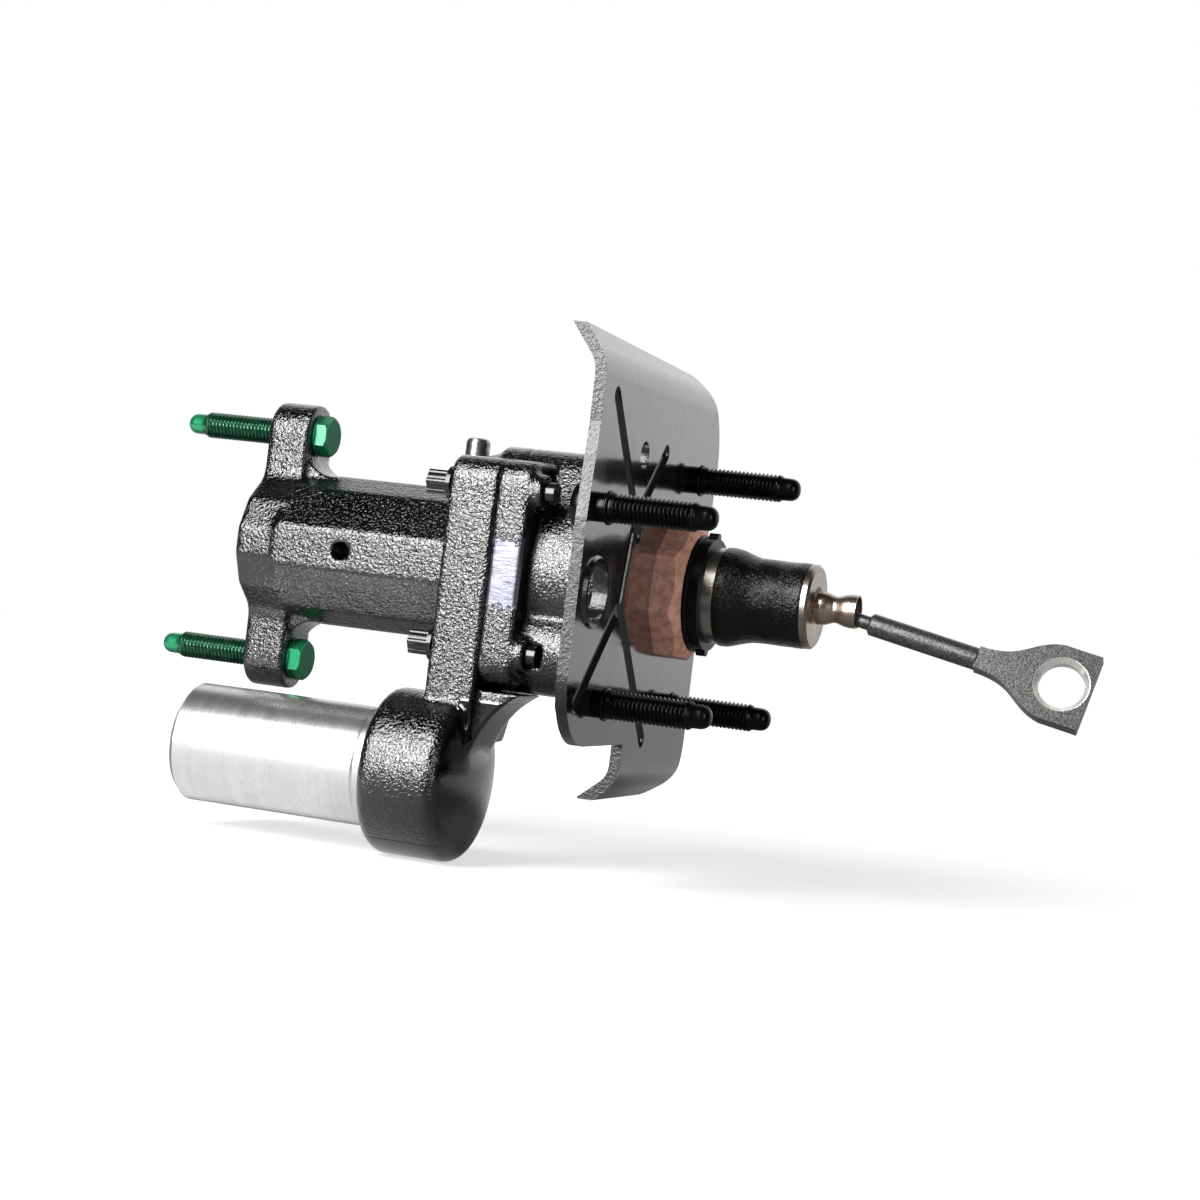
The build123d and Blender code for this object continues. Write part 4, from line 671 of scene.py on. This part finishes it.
class BOOSTER_OT_finishes(bpy.types.Operator):
    """Finishes of the pieces whose shape comes straight from the frame"""

    bl_idname = "booster.finishes"
    bl_label = "Finishes"

    def execute(self, context):
        colours = context.scene.booster_colours
        nodes = frame["nodes"]
        # bracket: deep-drawn steel with an electrophoretic coat, smooth enough to mirror what is near it
        coat, tree, shader, where = new_material("Electrophoretic coat on pressed steel")
        set_values(shader, IOR=1.55, Coat_Roughness=0.05)
        patch = grain(tree, where, 14.0, 3.0, 0.6)
        worn = ramp(tree, patch, 0.3, 0.7, 0.0, 1.0)
        link(tree, tint(tree, worn, linear("101113"), tuple(colours.coating)), shader, "Base Color")
        fine = grain(tree, where, 0.8, 2.0, 0.5)
        # the sheared edge is rough below the coat
        facing = axes(tree, add_node(tree, "ShaderNodeNewGeometry").outputs["Normal"])["Y"]
        edge = ramp(tree, facing, -0.9, -0.75, 1.0, 0.0)
        tears = ramp(tree, grain(tree, where, 1.2, 3.0, 0.6), 0.3, 0.7, 0.0, 2.0)
        sheared = combine(tree, "MULTIPLY", edge, tears)
        dull = combine(tree, "MULTIPLY", edge, 0.15)
        link(tree, combine(tree, "ADD", ramp(tree, patch, 0.3, 0.7, 0.2, 0.11), dull), shader, "Roughness")
        link(tree, ramp(tree, edge, 0.0, 1.0, 1.0, 0.1), shader, "Coat Weight")
        face = combine(tree, "ADD", combine(tree, "MULTIPLY", fine, 0.25), grain(tree, where, 9.0, 1.0))
        normal = set_bump(tree, shader, combine(tree, "ADD", face, sheared), 0.05)
        link(tree, normal, shader, "Coat Normal")
        # nut: copper-plated steel, blotched where the plating is thin
        copper, tree, shader, where = new_material("Copper plating on steel")
        set_values(shader, Metallic=0.6)
        blotch = grain(tree, where, 3.5, 4.0, 0.65, 0.5)
        thick = ramp(tree, blotch, 0.38, 0.62, 0.0, 1.0)
        link(tree, tint(tree, thick, linear("c9907a"), tuple(colours.copper)), shader, "Base Color")
        link(tree, ramp(tree, blotch, 0.35, 0.65, 0.62, 0.5), shader, "Roughness")
        set_bump(tree, shader, grain(tree, where, 0.7, 2.0), 0.03)
        # rod: drop-forged steel, dark with scale, bright where the hole is chamfered
        forged, tree, shader, where = new_material("Drop-forged steel")
        set_values(shader, Metallic=0.8)
        scale = grain(tree, where, 0.7, 3.0, 0.6, 0.3)
        base = tint(tree, ramp(tree, scale, 0.35, 0.68, 0.0, 1.0), linear("3c3c3b"), linear("777674"))
        offset = vector_math(tree, "SUBTRACT", where, EYE_CENTRE)["Vector"]
        across = vector_math(tree, "CROSS_PRODUCT", offset, EYE_AXIS)["Vector"]
        distance = vector_math(tree, "LENGTH", across)["Value"]
        bright = ramp(tree, distance, EYE_BRIGHT_R, EYE_BRIGHT_R + 0.2, 1.0, 0.0)
        link(tree, tint(tree, bright, base, linear("ecebe8")), shader, "Base Color")
        link(tree, ramp(tree, bright, 0.0, 1.0, 0.33, 0.22), shader, "Roughness")
        set_bump(tree, shader, combine(tree, "MULTIPLY", scale, ramp(tree, bright, 0.0, 1.0, 1.0, 0.0)), 0.06)
        canister, *_ = turned_metal("Turned aluminium", "e2e2e0", 0.27, LOBE_AXIS, 0.35, 0.003, 0.95)
        steel, *_ = turned_metal("Turned steel", "b9aea2", 0.26, MAIN_AXIS, 0.35, 0.006)
        bronze, *_ = turned_metal("Turned bronze", "c8b6a6", 0.26, MAIN_AXIS, 0.9, 0.03)
        zinc, *_ = plain_metal("Bright zinc plating", "c9c9c6", 0.3, 2.4, 0.3, 1.0, 0.03)
        black, *_ = plain_metal("Black phosphate on steel", "161617", 0.34, 2.0, 0.2, 0.6, 0.02)
        socket, *_ = plain_metal("Enamel on steel bolts", "0d0d0e", 0.2, 2.0, 0.2, 0.0, 0.02)
        rubber, *_ = plain_metal("Nitrile rubber", "141414", 0.5, 2.0, 0.1, 0.0, 0.02)
        nylon, *_ = plain_metal("Moulded nylon", "d9d2bf", 0.4, 2.0, 0.05, 0.0, 0.01)
        finishes = {
            "mounting_bracket": coat, "bracket_nut": copper, "pedal_rod": forged,
            "accumulator_canister": canister, "power_piston": steel, "rod_sleeve": bronze,
            "return_nipple": zinc, "cover_bolts": socket,
            "lock_ring": black, "clip_ring": black, "output_rod": steel, "spring_retainer": zinc,
            "canister_snap_ring": zinc, "accumulator_piston": canister, "accumulator_seal": rubber,
            "cover_seals": rubber, "piston_seal": rubber, "input_seal": rubber, "spool_valve": steel,
            "spool_plug": zinc, "plug_snap_ring": zinc, "valve_lever": zinc, "lever_pin": zinc,
            "tube_seats": bronze, "ball_seat": nylon,
        }
        for name, material in finishes.items():
            slots = nodes[name].material_slots
            if not slots:
                nodes[name].data.materials.append(material)
            for place in slots:
                place.material = material
        return {"FINISHED"}


class BOOSTER_OT_stage(bpy.types.Operator):
    """White floor, soft lights, pale surroundings and the camera"""

    bl_idname = "booster.stage"
    bl_label = "Stage"

    def execute(self, context):
        scene = context.scene
        scene.view_settings.view_transform = "Standard"
        low, high = (np.array(corner) for corner in CAD_BOX)
        middle = (low + high) / 2
        corners = [(middle[0] + FLOOR_HALF_M * a, middle[1] + FLOOR_HALF_M * b, low[2] - FLOOR_GAP_M)
                   for a, b in ((-1, -1), (1, -1), (1, 1), (-1, 1))]
        mesh = bpy.data.meshes.new("floor")
        mesh.from_pydata(corners, [], [(0, 1, 2, 3)])
        floor = bpy.data.objects.new("floor", mesh)
        scene.collection.objects.link(floor)
        paint = bpy.data.materials.new("White board with painted reflections")
        paint.use_nodes = True
        tree = paint.node_tree
        tree.nodes.clear()
        rays = add_node(tree, "ShaderNodeLightPath")
        seen = combine(tree, "MAXIMUM", rays.outputs["Is Camera Ray"], combine(
            tree, "MAXIMUM", rays.outputs["Is Glossy Ray"], rays.outputs["Is Transmission Ray"]))
        # painted reflection: the floor's diffuse colour is 0.5, but only 0.12 where gloss sees it, so it shows
        # darker in reflections
        dull = add_node(tree, "ShaderNodeBsdfDiffuse", {"Color": tint(
            tree, rays.outputs["Is Glossy Ray"], (0.5, 0.5, 0.5, 1), (0.12, 0.12, 0.12, 1))})
        place = add_node(tree, "ShaderNodeTexCoord").outputs["Object"]
        at = axes(tree, place)
        # painted reflection: to gloss the floor glows bright before the canister and grey on the far side, and
        # stays dark elsewhere, which paints the shade beneath the object
        across = combine(tree, "MULTIPLY", between(tree, at["Y"], -0.35, -0.03, 0.02),
                         ramp(tree, at["X"], -0.12, -0.04, 0.75, 0.0))
        painted_reflection_glow = combine(tree, "ADD", combine(tree, "ADD", across, 0.06),
                           ramp(tree, at["Y"], 0.08, 0.2, 0.0, 0.3))
        white = ramp(tree, vector_math(tree, "LENGTH", place)["Value"], 0.25, 0.8, 0.62, 1.0)
        near = blend(tree, rays.outputs["Is Camera Ray"], painted_reflection_glow, white)
        glow = add_node(tree, "ShaderNodeEmission", {
            "Color": (1, 1, 1, 1), "Strength": combine(tree, "MULTIPLY", seen, near)})
        both = add_node(tree, "ShaderNodeAddShader", {0: dull.outputs[0], 1: glow.outputs[0]})
        add_node(tree, "ShaderNodeOutputMaterial", {"Surface": both.outputs[0]})
        mesh.materials.append(paint)
        self.world(scene)
        self.lamps(scene)
        self.camera(scene)
        return {"FINISHED"}

    def world(self, scene):
        """White to the camera; to gloss, white behind and dark in front, where only the soft boxes shine."""
        world = bpy.data.worlds.new("surroundings")
        scene.world = world
        world.use_nodes = True
        tree = world.node_tree
        tree.nodes.clear()
        rays = add_node(tree, "ShaderNodeLightPath")
        at = axes(tree, add_node(tree, "ShaderNodeTexCoord").outputs["Generated"])
        rise = ramp(tree, at["Z"], -0.06, 0.12, 0.55, 1.0)
        tent = combine(tree, "MULTIPLY", ramp(tree, at["Y"], 0.38, 0.6, 0.02, 1.0), rise)
        mirror = combine(tree, "MAXIMUM", rays.outputs["Is Glossy Ray"], rays.outputs["Is Transmission Ray"])
        light = blend(tree, mirror, 0.3, tent)
        strength = blend(tree, rays.outputs["Is Camera Ray"], light, 1.0)
        background = add_node(tree, "ShaderNodeBackground", {"Color": (1, 1, 1, 1), "Strength": strength})
        add_node(tree, "ShaderNodeOutputWorld", {"Surface": background.outputs[0]})

    def lamps(self, scene):
        """Soft boxes: a tall one in front on the left, and a weak fill in front on the right."""
        for name, place, target, size, power in (
            ("front box", (-0.36, -0.86, 0.43), (-0.05, 0, 0), (0.4, 0.9), 23.0),
            ("fill", (0.85, -0.8, 0.25), (0, 0, 0), (0.3, 0.6), 3.5),
        ):
            data = bpy.data.lights.new(name, "AREA")
            data.shape = "RECTANGLE"
            data.size, data.size_y = size
            data.energy = power
            lamp = bpy.data.objects.new(name, data)
            scene.collection.objects.link(lamp)
            lamp.location = place
            lamp.rotation_euler = (Vector(target) - Vector(place)).to_track_quat("-Z", "Y").to_euler()

    def camera(self, scene):
        """The photograph's view, with the row frame's origin at u0, v0 in the picture.

        Angles are in degrees, distance is in millimetres, and focal, u0, v0 and size are in pixels."""
        azimuth, elevation, roll = (radians(a) for a in (18.598, 0.158, 6.811))
        focal, distance, u0, v0, size = 2570.49, 937.197, 670.903, 590.284, 1200.0
        ahead = -np.array([sin(azimuth) * cos(elevation), -cos(azimuth) * cos(elevation), sin(elevation)])
        right = np.array([cos(azimuth), sin(azimuth), 0.0])
        up = np.cross(right, ahead)
        right, up = cos(roll) * right + sin(roll) * up, -sin(roll) * right + cos(roll) * up
        offset = np.array([(u0 - size / 2) * distance / focal, -(v0 - size / 2) * distance / focal, distance])
        place = -(np.stack([right, up, ahead]).T @ offset) * MM
        data = bpy.data.cameras.new("camera")
        data.sensor_width = 36.0
        data.lens = focal / size * data.sensor_width
        data.clip_start = 0.05
        camera = bpy.data.objects.new("camera", data)
        scene.collection.objects.link(camera)
        turned = Matrix([list(right), list(up), list(-ahead)]).transposed()
        camera.matrix_world = Matrix.Translation(Vector(place)) @ turned.to_4x4()
        scene.camera = camera


class BOOSTER_PT_panel(bpy.types.Panel):
    """Lists the sizes, the colours and the steps"""

    bl_idname = "BOOSTER_PT_panel"
    bl_label = "Booster"
    bl_space_type = "VIEW_3D"
    bl_region_type = "UI"
    bl_category = "Booster"

    def draw(self, context):
        layout = self.layout
        for group in (context.scene.booster_sizes, context.scene.booster_colours):
            for name in group.__annotations__:
                layout.prop(group, name)
        for operator in OPERATORS:
            layout.operator(operator.bl_idname)


OPERATORS = (
    BOOSTER_OT_stage,
    BOOSTER_OT_castings,
    BOOSTER_OT_threads,
    BOOSTER_OT_boot,
    BOOSTER_OT_finishes,
)
CLASSES = (BoosterSizes, BoosterColours, *OPERATORS, BOOSTER_PT_panel)


def register():
    """Registers the classes and the two groups of settings."""
    for cls in CLASSES:
        bpy.utils.register_class(cls)
    bpy.types.Scene.booster_sizes = PointerProperty(type=BoosterSizes)
    bpy.types.Scene.booster_colours = PointerProperty(type=BoosterColours)


def unregister():
    """Takes them away again."""
    del bpy.types.Scene.booster_colours
    del bpy.types.Scene.booster_sizes
    for cls in reversed(CLASSES):
        bpy.utils.unregister_class(cls)


def main():
    """Runs every step in order."""
    register()
    bpy.ops.booster.stage()
    bpy.ops.booster.castings()
    bpy.ops.booster.threads()
    bpy.ops.booster.boot()
    bpy.ops.booster.finishes()


if __name__ == "__main__":
    main()
